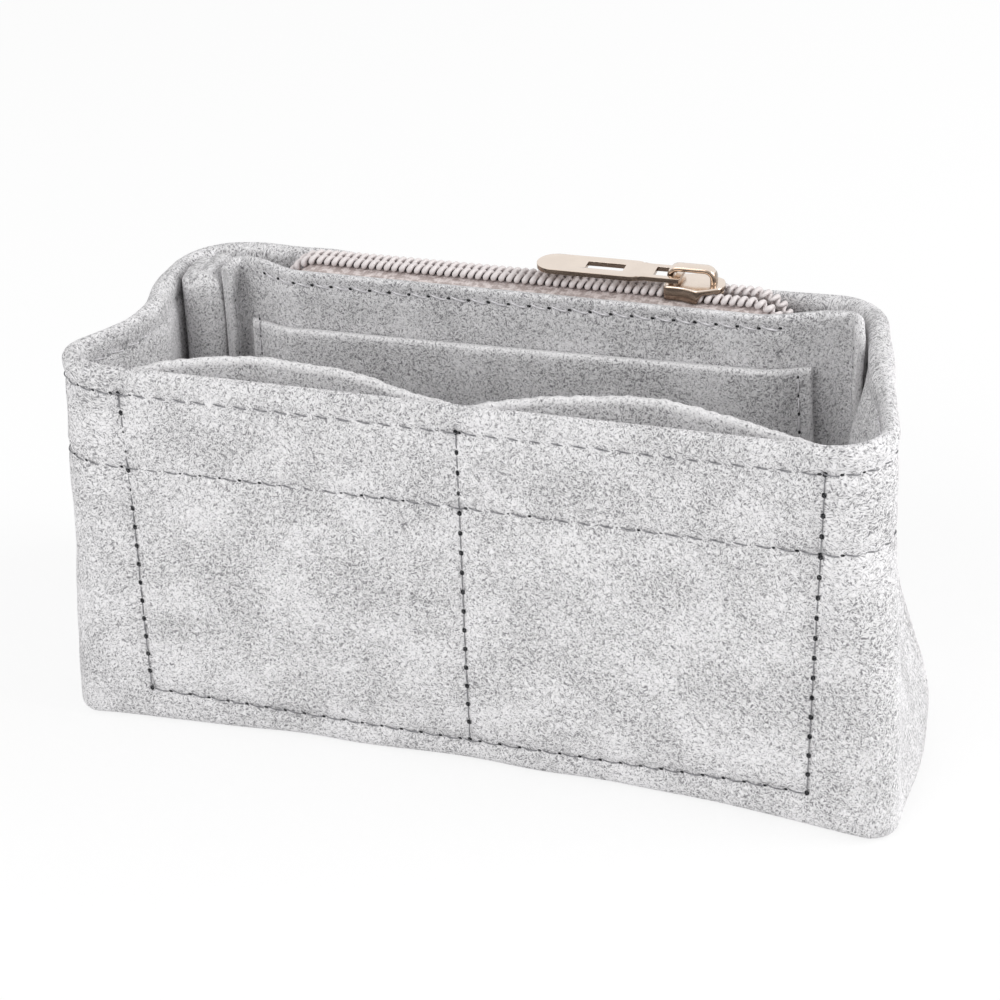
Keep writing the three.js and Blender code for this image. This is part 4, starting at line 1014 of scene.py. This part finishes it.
def pit_look(tree, colour, fuzz):
    """The shade inside a needle hole, broken by a few fibres."""
    share = spread(tree, noise(tree, object_place(tree), 4000.0, 2.0)[0], 0.45, 0.75)
    return {"Base Color": mixed(tree, share, colour, fuzz), "Roughness": 1.0, "Specular IOR Level": 0.0}


grey_thread = make_material("grey_thread", thread_look, (0.30, 0.30, 0.31, 1), (0.15, 0.15, 0.16, 1))
pale_thread = make_material("pale_thread", thread_look, (0.78, 0.77, 0.79, 1), (0.56, 0.55, 0.57, 1))
# The caps on the needle holes are near-black, or mid grey for the back and inside rows: painted shade
# standing in for the shade inside the holes.
needle_hole_shade = make_material("needle_hole_shade", pit_look, (0.012, 0.012, 0.014, 1), (0.16, 0.16, 0.165, 1))
pale_hole_shade = make_material("pale_hole_shade", pit_look, (0.30, 0.30, 0.31, 1), (0.50, 0.50, 0.51, 1))

# %% A row of stitches
STITCH_FREE = 0.06
STITCH_RISE = 0.52
STITCH_TAPER = np.array([0.45, 0.9, 1, 1, 1, 0.9, 0.45])
STITCH_TURN = np.radians(np.arange(0, 360, 60))[:, None]
STITCH_MAP, THREAD_MAP, TURN_MAP = 0.0006, 0.004, 0.00022
PIT_TOP = 0.10
PIT_RIM = -0.06


def stitch_row(line, normal, lift=0.0, slant=0.0, closed=False, radius=0.14, hole=(0.42, 0.30), sink=0.3):
    """Stitches along a line on a surface. The run of the line is shared into equal stitches; each is a tube
    whose height over the felt is half a sine wave from hole to hole, and each hole is a low six-sided cap."""
    if closed:
        line, normal = np.concatenate([line, line[:1]]), np.concatenate([normal, normal[:1]])
    run = np.concatenate([[0], np.cumsum(np.linalg.norm(np.diff(line, axis=0), axis=1))])
    count = max(int(round(run[-1] / PITCH_OF_STITCH)), 1)
    step = run[-1] / count
    at = lambda where, values: np.stack([np.interp(where, run, values[:, k]) for k in range(3)], -1)
    share = np.linspace(0, 1, len(STITCH_TAPER))
    where = (np.arange(count)[:, None] + STITCH_FREE + (1 - 2 * STITCH_FREE) * share) * step
    centre, out = at(where, line), unit(at(where, normal))
    side = unit(np.cross(unit(np.gradient(centre, axis=1)), out))
    height = lift - sink + STITCH_RISE * np.sin(math.pi * share) ** 0.6
    centre = centre + out * height[:, None] + side * (slant * (share - 0.5))[:, None]
    ring = np.cos(STITCH_TURN) * out[:, :, None] + np.sin(STITCH_TURN) * side[:, :, None]
    tubes = centre[:, :, None] + ring * (radius * STITCH_TAPER)[:, None, None]
    holes = np.arange(count if closed else count + 1) * step
    hole_at, hole_out = at(holes, line), unit(at(holes, normal))
    hole_ahead = unit(at(holes + 0.05, line) - at(holes - 0.05, line))
    hole_side = np.cross(hole_ahead, hole_out)
    rim = hole[0] * np.cos(STITCH_TURN) * hole_ahead[:, None]
    rim = rim + hole[1] * np.sin(STITCH_TURN) * hole_side[:, None]
    top, foot = (hole_at + (lift + level) * hole_out for level in (PIT_TOP, PIT_RIM))
    return tubes, np.concatenate([top[:, None], foot[:, None] + rim], 1)


def row_piece(name, rows, node_name, thread, pit=needle_hole_shade, backs=()):
    """One piece from several rows: quads round every tube, closed at its two ends, and fans on the holes. The
    rows on the back of the felt show the paler thread of the bobbin."""
    tubes, caps = (np.concatenate(kind) for kind in zip(*rows, *backs))
    count, stations, sides = tubes.shape[:3]
    start = tubes.size // 3 + caps.shape[1] * np.arange(len(caps))[:, None]
    fan = start + 1 + np.arange(sides)
    fans = np.stack([np.broadcast_to(start, fan.shape), np.roll(fan, -1, 1), fan], -1).reshape(-1, 3)
    tube, station, turn = np.indices((count, stations - 1, sides)).reshape(3, -1, 1)
    u = (station + [0, 0, 1, 1]) * STITCH_MAP + tube * THREAD_MAP
    v = (turn + [0, 1, 1, 0]) * TURN_MAP
    bare = np.zeros((2 * count * sides + fans.size, 2))
    uv = np.concatenate([np.stack([u, v], -1).reshape(-1, 2), bare])
    points = np.concatenate([tubes.reshape(-1, 3), caps.reshape(-1, 3)])
    piece = piece_from(name, points, tube_faces(tubes.shape[:3]) + fans.tolist(), uv)
    dress(piece, "organizer", "thread", [node_name], thread, pit, *((pale_thread, pale_hole_shade) if backs else ()))
    threads = 2 * (np.arange(count) >= sum(len(tube) for tube, _ in rows))
    pits = 1 + 2 * (np.arange(len(caps)) >= sum(len(cap) for _, cap in rows))
    parts = [np.repeat(threads, (stations - 1) * sides), threads, threads, np.repeat(pits, sides)]
    piece.data.polygons.foreach_set("material_index", np.concatenate(parts))
    piece.data.update()


def ring_row(z, inset, outward):
    """Line right round the body at one height on a face at an inset, with its outward normals."""
    runs = np.linspace(0, RING_STOPS[-1], 900, endpoint=False)
    heights = np.full_like(runs, z)
    line = wall_point(runs, inset, heights)
    return line, unit(wall_point(runs, inset - outward, heights) - line)


for row_name, z in (("upper", UPPER_ROW), ("lower", LOWER_ROW)):
    outside = stitch_row(*ring_row(z, 0.0, 1), lift=-0.9 * ROW_PRESS, slant=0.5, closed=True)
    inside = stitch_row(*ring_row(z, HEM - hem_press(z), -1), lift=-0.3, slant=0.5, closed=True)
    row_piece(f"stitches_hem_{row_name}", [outside], f"hem_seam_{row_name}", grey_thread, backs=[inside])
BASE_ROW = 5.4
base_inside = stitch_row(*ring_row(BASE_ROW, BASE_INSET + FELT, -1), closed=True)
row_piece("stitches_base", [base_inside], "base_seam", pale_thread, pale_hole_shade)

# %% [markdown]
# The upright rows on the front cross both hem rows, and the row along the foot of the pockets joins
# the outer two. They keep their own place across the width while the wall leans out.

# %% Rows on the front wall
def front_row(x, z):
    """Line on the front face through given places across the width and heights, with its normals."""
    line = front_point(x, 0.0, z)
    return line, unit(front_point(x, -1.0, z) - line)


for name, share, dip in (("left", -1, 0.0), ("centre", 0, POCKET_DIP), ("right", 1, 0.0)):
    row_z = np.linspace(UPPER_ROW, POCKET_ROW - dip, 200)
    row_line = front_row(np.full_like(row_z, POCKET_MIDDLE + share * POCKET_HALF), row_z)
    row = stitch_row(*row_line, lift=-0.5, radius=0.12, hole=(0.60, 0.48), sink=0.5)
    row_piece(f"stitches_pocket_{name}", [row], f"pocket_seam_{name}", grey_thread)
foot_x = np.linspace(-POCKET_HALF, POCKET_HALF, 300)
foot_z = POCKET_ROW - POCKET_DIP * (1 - (foot_x / POCKET_HALF) ** 2)
foot_stitches = stitch_row(*front_row(POCKET_MIDDLE + foot_x, foot_z), lift=-0.42, slant=0.4)
row_piece("stitches_pocket_foot", [foot_stitches], "pocket_seam_bottom", grey_thread)

# %% [markdown]
# Inside, a pale thread holds the zipper tape to its panel and the slip pocket to the same panel. Two
# more rows run down the turned ends of the panel.

# %% Rows inside the box
def panel_row(x, z, ahead):
    """Line in front of the zip pocket panel, with its normals."""
    line = panel_point(x, ahead, z)
    return line, unit(panel_point(x, ahead + 1.0, z) - line)


zip_x = np.linspace(ZIP_SEAM_LEFT, ZIP_SEAM_RIGHT, 300)
zip_line = panel_row(zip_x, np.full_like(zip_x, ZIP_ROW), FELT / 2)
row_piece("stitches_zip", [stitch_row(*zip_line, lift=-0.15, slant=0.9, radius=0.2)], "zip_seam", pale_thread)
side_z = np.linspace(SLIP_TOP - 1, seam_foot, 160)
foot_run = np.linspace(seam_left, seam_right, 300)
slip_lines = [(np.full_like(side_z, x), side_z) for x in (seam_left, seam_right)]
slip_lines.append((foot_run, np.full_like(foot_run, seam_foot)))
slip_rows = [stitch_row(*panel_row(x, z, SLIP_AHEAD + FELT / 2), lift=-0.35) for x, z in slip_lines]
row_piece("stitches_slip_pocket", slip_rows, "slip_pocket_seam", pale_thread)
end_z = np.linspace(1.5 * ALLOWANCE, HEIGHT - 2.5, 200)
left_row = np.full_like(end_z, PANEL_LEFT + FELT / 2), np.full_like(end_z, BEND_Y - LEFT_AHEAD - 1.6)
right_row_y = BEND_Y - 0.6 * flange_width(end_z)
right_row = panel_right(right_row_y, end_z) - FELT / 2, right_row_y
for name, plan, inward in (("left", left_row, 1.0), ("right", right_row, -1.0)):
    line = flared(*plan, end_z)
    row = stitch_row(line, np.broadcast_to([inward, 0, 0], line.shape))
    row_piece(f"stitches_corner_{name}", [row], f"corner_seam_{name}", pale_thread)

# %% [markdown]
# The zipper has two woven tapes. Each lies flat under its coil, bends down and hangs against the felt
# it is sewn to. At both ends of the chain the tapes dive into the pocket with the coils.

# %% Zipper line
CHAIN_Z = HEIGHT + 0.9
CHAIN_DIVE = 9.0
CHAIN_REACH = CHAIN_HALF + CHAIN_DIVE
DIVE_RADIUS = 6.0
STEEPEST = 1.2
SLIDER_X = CHAIN_HALF - 11.5
PARTED = 1.15
COIL_HEIGHT = 1.9
COIL_REACH = 2.6
TAPE = 0.5
TAPE_GAP = 0.05


def chain_point(run, lateral, height):
    """Point by run along the chain, distance to its side and height over the tape: a straight line that
    turns down on an arc at each end and goes on straight into the pocket."""
    over = np.maximum(np.abs(run) - CHAIN_HALF, 0)
    bent = np.minimum(over / DIVE_RADIUS, STEEPEST)
    rest = over - bent * DIVE_RADIUS
    out = DIVE_RADIUS * np.sin(bent) + rest * np.cos(bent) + height * np.sin(bent)
    fall = DIVE_RADIUS * (1 - np.cos(bent)) + rest * np.sin(bent)
    x = np.sign(run) * (np.minimum(np.abs(run), CHAIN_HALF) + out)
    return flared(x, ZIP_Y + lateral, CHAIN_Z - fall + height * np.cos(bent))


def parting(run):
    """How far each coil stands off the middle: closed before the slider's wedge, parted behind it."""
    return PARTED * ease(SLIDER_X - 2.6, SLIDER_X + 2.4, run)


print("chain from", -CHAIN_REACH, "to", CHAIN_REACH, "mm along its run")

# %% Woven tapes
TAPE_BEND = 0.8
TAPE_INNER = 0.8
TAPE_HANG = 8.0


def tape_look(tree, colour, shade):
    """Woven tape: fine ribs along and across the run, with painted shade between the ribs, and a mottled dye.
    """
    cloth = cloth_map(tree)
    weave = times(tree, bands(tree, cloth, 520.0, 0.6, "X"), bands(tree, cloth, 480.0, 0.6, "Y"))
    dyed = spread(tree, noise(tree, cloth, 700.0, 2.0, "2D")[0], 0.42, 0.6)
    share = math_node(tree, "ADD", times(tree, weave, 0.3), times(tree, dyed, 0.7))
    return {
        "Base Color": mixed(tree, share, shade, colour), "Normal": raised(tree, weave, 0.6, 0.00012),
        "Roughness": 0.85, "Specular IOR Level": 0.2,
    }


def tape_grid(side):
    """Middle surface of one tape: flat from beside the middle line, a quarter turn, then straight down."""
    marks = (-CHAIN_HALF - 4, SLIDER_X, CHAIN_HALF + 4)
    run = spaced(-CHAIN_REACH, CHAIN_REACH, 1.0, 0.5, marks, 6.0)[:, None]
    under = -TAPE_GAP - TAPE / 2
    spine = chain_point(run, 0, under)
    x = spine[..., 0]
    rear_face = HALF_DEPTH - HEM + bow(x, np.full_like(x, HALF_DEPTH), HEIGHT)
    felt_y = panel_depth(x, HEIGHT) + FELT / 2 if side < 0 else rear_face
    fall = np.abs(felt_y - ZIP_Y) - GAP - TAPE / 2
    inner = TAPE_INNER + parting(run)
    flat_part = chain_point(run, side * (inner + (fall - TAPE_BEND - inner) * np.linspace(0, 1, 7)), under)
    turn = np.radians(np.linspace(15, 90, 6))
    straight = np.linspace(0.1, 1, 10)
    hang = np.concatenate([TAPE_BEND * (1 - np.cos(turn)), TAPE_BEND + (TAPE_HANG - TAPE_BEND) * straight])
    lateral = fall - TAPE_BEND + TAPE_BEND * np.concatenate([np.sin(turn), np.ones_like(straight)])
    return np.concatenate([flat_part, flared(x, ZIP_Y + side * lateral, spine[..., 2] - hang)], 1)


tape_weave = make_material("tape_weave", tape_look, (0.80, 0.73, 0.715, 1), (0.42, 0.355, 0.34, 1))
tapes = {}
for name, side in (("front", -1), ("rear", 1)):
    tapes[name] = layer_mesh(f"zipper_tape_{name}_woven", tape_grid(side), TAPE)
    dress(tapes[name], "organizer", "tape", [f"zipper_tape_{name}"], tape_weave)

# %% [markdown]
# The coil is one nylon filament wound into a flattened spiral, with a loop at every pitch. A toothed
# bar would do for a distant view, but close up the loops are what makes it a zipper. The filament's
# path is a helix, wide across the tape and low in height, and a tube is carried along it. The rear
# coil runs half a pitch behind, so that its loops lie between those of the front coil.

# %% Coils
TOOTH_PITCH = 1.57
FILAMENT = 0.47
FILAMENT_SWELL = 0.12
COIL_INNER = -0.06


def nylon_look(tree, colour, deep):
    """Smooth moulded nylon with a slightly uneven dye."""
    dye = noise(tree, object_place(tree), 900.0, 2.0)[0]
    return {"Base Color": mixed(tree, dye, deep, colour), "Roughness": 0.42, "Specular IOR Level": 0.4}


def coil_path(side, shift):
    """Helix along the chain: cosine across the tape, sine in height, one turn for each pitch, standing off
    the middle line where the slider has parted the chain."""
    turns = math.floor(2 * CHAIN_REACH / TOOTH_PITCH) - 1
    turn = np.linspace(0, 2 * math.pi * turns, 16 * turns + 1)
    run = -CHAIN_REACH + (shift + 0.5) * TOOTH_PITCH + TOOTH_PITCH * turn / (2 * math.pi)
    coil_outer = COIL_REACH - FILAMENT - FILAMENT_SWELL
    middle, amount = (coil_outer + COIL_INNER) / 2, (coil_outer - COIL_INNER) / 2
    lateral = middle - amount * np.cos(turn) + parting(run)
    height = COIL_HEIGHT / 2 + (COIL_HEIGHT / 2 - FILAMENT) * np.sin(side * turn)
    return chain_point(run, side * lateral, height), FILAMENT - FILAMENT_SWELL * np.cos(turn)


def filament_tube(path, radius, sides=8):
    """Points and faces of a tube along a path: circles square to it, each with its own radius."""
    ahead = unit(np.gradient(path, axis=0))
    across = unit(np.array([1.0, 0, 0]) - ahead * ahead[:, :1])
    other = np.cross(ahead, across)
    turn = np.linspace(0, 2 * math.pi, sides, endpoint=False)[:, None]
    ring = np.cos(turn) * across[:, None] + np.sin(turn) * other[:, None]
    points = path[:, None] + radius[:, None, None] * ring
    return points.reshape(-1, 3), tube_faces(points.shape[:2])


nylon = make_material("coil_nylon", nylon_look, (0.78, 0.73, 0.725, 1), (0.66, 0.61, 0.605, 1))
for name, side, shift in (("front", -1, 0.0), ("rear", 1, 0.5)):
    coil = piece_from(f"zipper_coil_{name}_wound", *filament_tube(*coil_path(side, shift)))
    dress(coil, "organizer", "coil", [f"zipper_coil_{name}"], nylon)

# %% [markdown]
# The slider is a small polished casting in pale champagne plating. Its upper plate has side flanges
# that hold the coils, and its front end is a blunt point. It is lofted: an upturned channel section
# is carried along the chain while its width follows the coils, so the flange and the point are one
# smooth surface with rounded edges. The lower plate is the same section turned over.

# %% Plated metal finish
def plating_look(tree, colour, worn):
    """Polished plating: a warm metal with faint brush lines and a little wear in its roughness."""
    place = object_place(tree)
    stretched = node(tree, "ShaderNodeMapping", {"Vector": place, "Scale": (300.0, 2600.0, 2600.0)})[0]
    cloud = noise(tree, place, 260.0, 3.0)[0]
    return {
        "Base Color": mixed(tree, cloud, worn, colour), "Normal": raised(tree, cloud, 0.15, 0.00012),
        "Roughness": spread(tree, noise(tree, stretched, 1.0, 2.0)[0], 0.3, 0.7, 0.14, 0.27), "Metallic": 1.0,
    }


plating = make_material("champagne_plating", plating_look, (0.86, 0.76, 0.67, 1), (0.74, 0.64, 0.56, 1))
# The darker plating goes on the upright faces of the slider and on the rims of the tab: painted shade that
# stands in for the dark reflections on those sides.
side_shade_plating = make_material("painted_shade_sides", plating_look, (0.40, 0.31, 0.24, 1), (0.28, 0.21, 0.16, 1))

# %% Lofted and swept metal
SLIDER_WALL = 0.45
PLATE_ROUND = 0.4
FOOT_ROUND = 0.12


def both_sides(half):
    """A line across the slider for each place along it: its right half, then the mirror image back again."""
    right = np.stack([np.stack(np.broadcast_arrays(y, z), -1) for y, z in half], 1)
    return np.concatenate([right, (right * np.array([-1, 1]))[:, ::-1]], 1)


def channel_section(half, roof, top, foot):
    """Outer and inner line of an upturned channel for each place along the slider: from foot to foot, outside
    over rounded upper edges and inside under the roof."""
    turn = np.radians(np.linspace(0, 90, 6))
    outside = [(half, foot + FOOT_ROUND), (half, (foot + top - PLATE_ROUND) / 2)]
    outside += [(half - PLATE_ROUND * (1 - math.cos(a)), top - PLATE_ROUND * (1 - math.sin(a))) for a in turn]
    inner = np.maximum(half - SLIDER_WALL, 0.05)
    inside = [(inner, foot), (inner, (foot + roof) / 2), (inner, roof - 0.02)]
    inside += [(inner * share, roof) for share in (0.9, 0.75, 0.55, 0.35, 0.15)]
    return both_sides(outside), both_sides(inside)


def lofted(place, lines):
    """Points and faces of a lofted channel: outer skin, inner skin, and strips that join them all round."""
    skins = np.stack(lines)
    along = np.broadcast_to(place[:, None, None], (*skins.shape[:3], 1))
    faces = shell_faces(*numbered(skins.shape[:3]))[:, OVER]
    return np.concatenate([along, skins], -1).reshape(-1, 3), faces


def swept_bar(path, side, half_width, half_thick):
    """Points and faces of a bar with a rounded section carried along an open path in one plane."""
    out = np.cross(unit(np.gradient(path, axis=0)), side)
    turn = np.radians(np.arange(0, 360, 30))[:, None]
    power = lambda value: np.sign(value) * np.abs(value) ** 0.55
    ring = half_width * power(np.cos(turn)) * side + half_thick * power(np.sin(turn)) * out[:, None]
    return (path[:, None] + ring).reshape(-1, 3), tube_faces(ring.shape[:2])


def joined(parts):
    """Points and faces of several closed shells as one."""
    points, faces = np.empty((0, 3)), []
    for part_points, part_faces in parts:
        faces += [[len(points) + k for k in face] for face in part_faces]
        points = np.concatenate([points, part_points])
    return points, faces


print("slider walls are", SLIDER_WALL, "mm thick")

# %% Slider
CLEAR = 0.2
CHANNEL_FLOOR = CHAIN_Z - TAPE_GAP - TAPE - CLEAR
CHANNEL_ROOF = CHAIN_Z + COIL_HEIGHT + CLEAR
PLATE = 1.0
PLATE_TOP = CHANNEL_ROOF + PLATE
SLIDER_HALF = 6.1
SLIDER_BACK = 5.2
SLIDER_POINT = 5.2
NOSE_START, NOSE_IN = 1.6, 0.55
HEEL_RUN, HEEL_IN = 0.6, 0.35
DIP_RUN, DIP = 1.1, 0.28
POST_X, POST_LONG, POST_WIDE, POST_SIDES = 3.9, 1.9, 0.58, 24
PIVOT_X = SLIDER_X - 2.7
PIVOT_Z = PLATE_TOP + 1.0
BAIL_RADIUS = 1.65
BAIL_RUN = 5.0
BAIL_HALF_WIDTH, BAIL_HALF_THICK = 1.3, 0.6
BAIL_SUNK = 0.5

place = np.concatenate([
    np.linspace(-SLIDER_BACK, 0.5 - SLIDER_BACK, 4),
    np.linspace(0.9 - SLIDER_BACK, 5.0, 30),
    np.linspace(SLIDER_POINT, SLIDER_HALF, 7),
])
coil_half = COIL_REACH + parting(SLIDER_X + np.minimum(place, SLIDER_HALF - 1.5)) + CLEAR + SLIDER_WALL
point = np.sqrt(np.clip(1 - ramp(SLIDER_POINT, SLIDER_HALF, place) ** 2, 0.04, 1))
nose = 1 - NOSE_IN * ramp(NOSE_START, SLIDER_HALF, place)
heel = np.sqrt(1 - HEEL_IN * ramp(HEEL_RUN - SLIDER_BACK, -SLIDER_BACK, place) ** 2)
half = coil_half * point * nose * heel
ends = ramp(SLIDER_HALF - DIP_RUN, SLIDER_HALF, place), ramp(DIP_RUN - SLIDER_BACK, -SLIDER_BACK, place)
dip = DIP * np.maximum(*ends) ** 2
foot_open = CHANNEL_FLOOR + TAPE + 2 * CLEAR + TAPE_GAP
upper_foot = foot_open + (CHANNEL_ROOF - 0.1 - foot_open) * ease(1.2, 2.6, place)
upper_lines = channel_section(half, CHANNEL_ROOF, PLATE_TOP - dip, upper_foot)
lower_lines = channel_section(half, -CHANNEL_FLOOR, PLATE - CHANNEL_FLOOR - dip, -CHANNEL_FLOOR - FOOT_ROUND)
upper_points, upper_faces = lofted(place, upper_lines)
lower_points, lower_faces = lofted(place, lower_lines)
post_turn = np.linspace(0, 2 * math.pi, POST_SIDES, endpoint=False)
post_ring = [POST_X + POST_LONG * np.cos(post_turn), POST_WIDE * np.sin(post_turn)]
post_levels = (CHANNEL_FLOOR - 0.3, CHANNEL_ROOF + 0.3)
post_points = np.concatenate([np.column_stack([*post_ring, np.full(POST_SIDES, z)]) for z in post_levels])
quarter_turn = np.radians(np.linspace(0, 90, 12))
bail_left, bail_right = PIVOT_X - BAIL_RADIUS, PIVOT_X + BAIL_RUN + BAIL_RADIUS
bail_x = np.concatenate([
    [bail_left, bail_left], PIVOT_X - BAIL_RADIUS * np.cos(quarter_turn),
    PIVOT_X + BAIL_RUN + BAIL_RADIUS * np.sin(quarter_turn), [bail_right, bail_right],
])
bail_z = np.concatenate([
    [PLATE_TOP - BAIL_SUNK, PIVOT_Z - 0.3], PIVOT_Z + BAIL_RADIUS * np.sin(quarter_turn),
    PIVOT_Z + BAIL_RADIUS * np.cos(quarter_turn), [PIVOT_Z - 0.3, PLATE_TOP - BAIL_SUNK],
])
bail_path = np.column_stack([bail_x, np.full_like(bail_x, ZIP_Y), bail_z])
to_chain = np.array([SLIDER_X, ZIP_Y, 0])
slider = piece_from("zipper_slider", *joined([
    (upper_points + to_chain, upper_faces.tolist()),
    (lower_points * np.array([1, 1, -1]) + to_chain, lower_faces[:, OVER].tolist()),
    (post_points + to_chain, tube_faces((2, POST_SIDES))),
    swept_bar(bail_path, np.array([0.0, 1.0, 0]), BAIL_HALF_WIDTH, BAIL_HALF_THICK),
]))
dress(slider, "slider", "zipper_metal", ["slider_body"], plating, side_shade_plating)
# Upright faces take the second, darker plating: painted shade on the slider's sides.
facing = np.empty(3 * len(slider.data.polygons), np.float32)
slider.data.polygons.foreach_get("normal", facing)
slider.data.polygons.foreach_set("material_index", (np.abs(facing[2::3]) < 0.5).astype(int))

# %% [markdown]
# The pull tab is a stamped plate with a link hole that hangs on the bail, a finger slot and a round
# end. Each hole is ringed by a band of faces whose outer edge is the tab's own outline, so the plate
# is two such bands side by side. Solidify gives it thickness and Bevel rounds the stamped edges.

# %% Pull tab
TAB_BAR = 0.6
TAB_HALF = 3.7
TAB_NECK = 3.0
NECK_FROM = (-9.0, -6.0)
TAB_END = TAB_BAR - 28.5
TAB_SPLIT = -7.6
SLOT_X, SLOT_HALF = -14.4, (3.7, 1.45)
LINK_X, LINK_HALF = -2.6, (2.05, 1.8)
BAND_SHARES = np.array([0, 0.35, 0.7, 1.0])[:, None, None]
TAB_MODIFIERS = (
    ("join the bands", "WELD", {"merge_threshold": 0.00003}),
    ("plate", "SOLIDIFY", {"thickness": 0.0009, "offset": 0.0, "material_offset_rim": 1}),
    ("stamped edge", "BEVEL", {
        "width": 0.00022, "segments": 3, "limit_method": "ANGLE", "angle_limit": math.radians(40),
    }),
)


def ray_to_box(turn, centre, half_x, half_y):
    """Point where a ray from the centre of a box leaves it."""
    reach = 1 / np.maximum(np.abs(np.cos(turn)) / half_x, np.abs(np.sin(turn)) / half_y)
    return np.stack([centre + reach * np.cos(turn), reach * np.sin(turn)], 1)


def tab_half_width(x):
    """Half width of the tab: straight, then eased in to the neck."""
    return TAB_HALF - (TAB_HALF - TAB_NECK) * ease(*NECK_FROM, x)


def band(hole_centre, hole_half, left, right, round_end, count=96):
    """Rings from a hole to the part of the outline round it, met by the same rays through a box of size 1.
    The left side of the box stands for a straight edge, or for the half circle of the round end."""
    turn = np.linspace(0, 2 * math.pi, count, endpoint=False) + math.pi / count
    hole = ray_to_box(turn, hole_centre, *hole_half)
    box_x, box_y = ray_to_box(turn, 0.0, 1.0, 1.0).T
    x = hole_centre + box_x * np.where(box_x > 0, right - hole_centre, hole_centre - left)
    outline = np.stack([x, box_y * tab_half_width(x)], 1)
    if round_end:
        bent = box_y * math.pi / 2
        half_circle = np.stack([left - TAB_HALF * np.cos(bent), TAB_HALF * np.sin(bent)], 1)
        outline = np.where((box_x < -0.9999)[:, None], half_circle, outline)
    return hole + BAND_SHARES * (outline - hole)


tab_rings = np.stack([
    band(SLOT_X, SLOT_HALF, TAB_END + TAB_HALF, TAB_SPLIT, True),
    band(LINK_X, LINK_HALF, TAB_SPLIT, TAB_BAR, False),
])
tab_faces = grid_quads(numbered(tab_rings.shape[:3]), closed=True)
flat_tab = tab_rings.reshape(-1, 2) + np.array([PIVOT_X, ZIP_Y])
tab_points = np.column_stack([flat_tab, np.full(len(flat_tab), PIVOT_Z)])
pull_tab = piece_from("zipper_pull_tab", tab_points, tab_faces.tolist())
for name, kind, settings in TAB_MODIFIERS:
    modifier = pull_tab.modifiers.new(name, kind)
    for setting, value in settings.items():
        setattr(modifier, setting, value)
# The rim that Solidify makes takes the second material, so the tab's edges get the darker plating as painted
# shade.
dress(pull_tab, "tab", "zipper_metal", ["pull_tab"], plating, side_shade_plating)

# %% [markdown]
# Felt and tape are cloth, so the area of each such piece is printed: half the surface of its layer,
# about how large it was cut before it was sewn. The wall strip is folded, the other panels are sewn flat
# or bowed, and the tapes hang from the chain.

# %% What each piece of cloth was cut to
def cloth_area(piece):
    """Half the surface of a thin closed layer, in square metres."""
    areas = np.empty(len(piece.data.polygons), np.float32)
    piece.data.polygons.foreach_get("area", areas)
    return float(areas.sum()) / 2


for piece in (outer_wall, base_panel, front_pockets, zip_panel, slip_pocket, corner_fold, *tapes.values()):
    print(piece.name, "measures", round(cloth_area(piece) * 1e4, 1), "square centimetres")

# %% [markdown]
# A product like this is shot on a white sweep under large soft lights, one high in front and one at
# the right. The floor keeps a soft shadow, but to the camera and in reflections most of it glows plain
# white, as the world does. For all other rays both are plain, so the felt shows its own grey.

# %% Floor and light
WHITE = (1, 1, 1, 1)
SWEEP_GLOW = 0.8
WORLD_LIGHT = 0.60
FLOOR_HALF = 6.0
AIM = np.array([0, 0, 0.04])


def seen_rays(tree):
    """1 for rays of the camera and of reflections, which see the background, and 0 for the others."""
    rays = node(tree, "ShaderNodeLightPath")
    mirrored = math_node(tree, "MAXIMUM", rays["Is Glossy Ray"], rays["Is Transmission Ray"])
    return math_node(tree, "MAXIMUM", rays["Is Camera Ray"], mirrored)


def sweep_look(tree):
    """Matt white, mixed with a white glow for the rays that see the background."""
    glow = node(tree, "ShaderNodeEmission", {"Color": WHITE, "Strength": 1.0})[0]
    lit = tree.nodes["Principled BSDF"].outputs[0]
    glow_share = times(tree, seen_rays(tree), SWEEP_GLOW)
    surface = node(tree, "ShaderNodeMixShader", {0: glow_share, 1: lit, 2: glow})[0]
    fill(tree, tree.nodes["Material Output"], {"Surface": surface})
    return {"Base Color": (0.93, 0.93, 0.93, 1), "Roughness": 1.0, "Specular IOR Level": 0.0}


def softbox(name, place, size, power):
    """A square area light that faces the object."""
    data = bpy.data.lights.new(name, "AREA")
    data.size = size
    data.energy = power
    back = unit(np.array(place) - AIM)
    across = unit(np.cross([0.0, 0.0, 1.0], back))
    stand(placed(name, data), across, np.cross(back, across), back, place)


floor_mesh = bpy.data.meshes.new("floor")
floor_corners = [(x * FLOOR_HALF, y * FLOOR_HALF, 0) for x, y in ((-1, -1), (1, -1), (1, 1), (-1, 1))]
floor_mesh.from_pydata(floor_corners, [], [(0, 1, 2, 3)])
floor_mesh.materials.append(make_material("white_sweep", sweep_look))
floor = placed("floor", floor_mesh)
world = bpy.data.worlds.new("studio")
bpy.context.scene.world = world
world.use_nodes = True
sky = world.node_tree
strength = math_node(sky, "ADD", times(sky, seen_rays(sky), 1 - WORLD_LIGHT), WORLD_LIGHT)
fill(sky, sky.nodes["Background"], {"Color": WHITE, "Strength": strength})
softbox("key_box", (-0.5, -1.0, 0.95), 0.9, 9.2)
softbox("side_box", (1.1, 0.22, 0.58), 0.7, 9.8)
bpy.context.scene.view_settings.view_transform = "Standard"
print("studio light set")
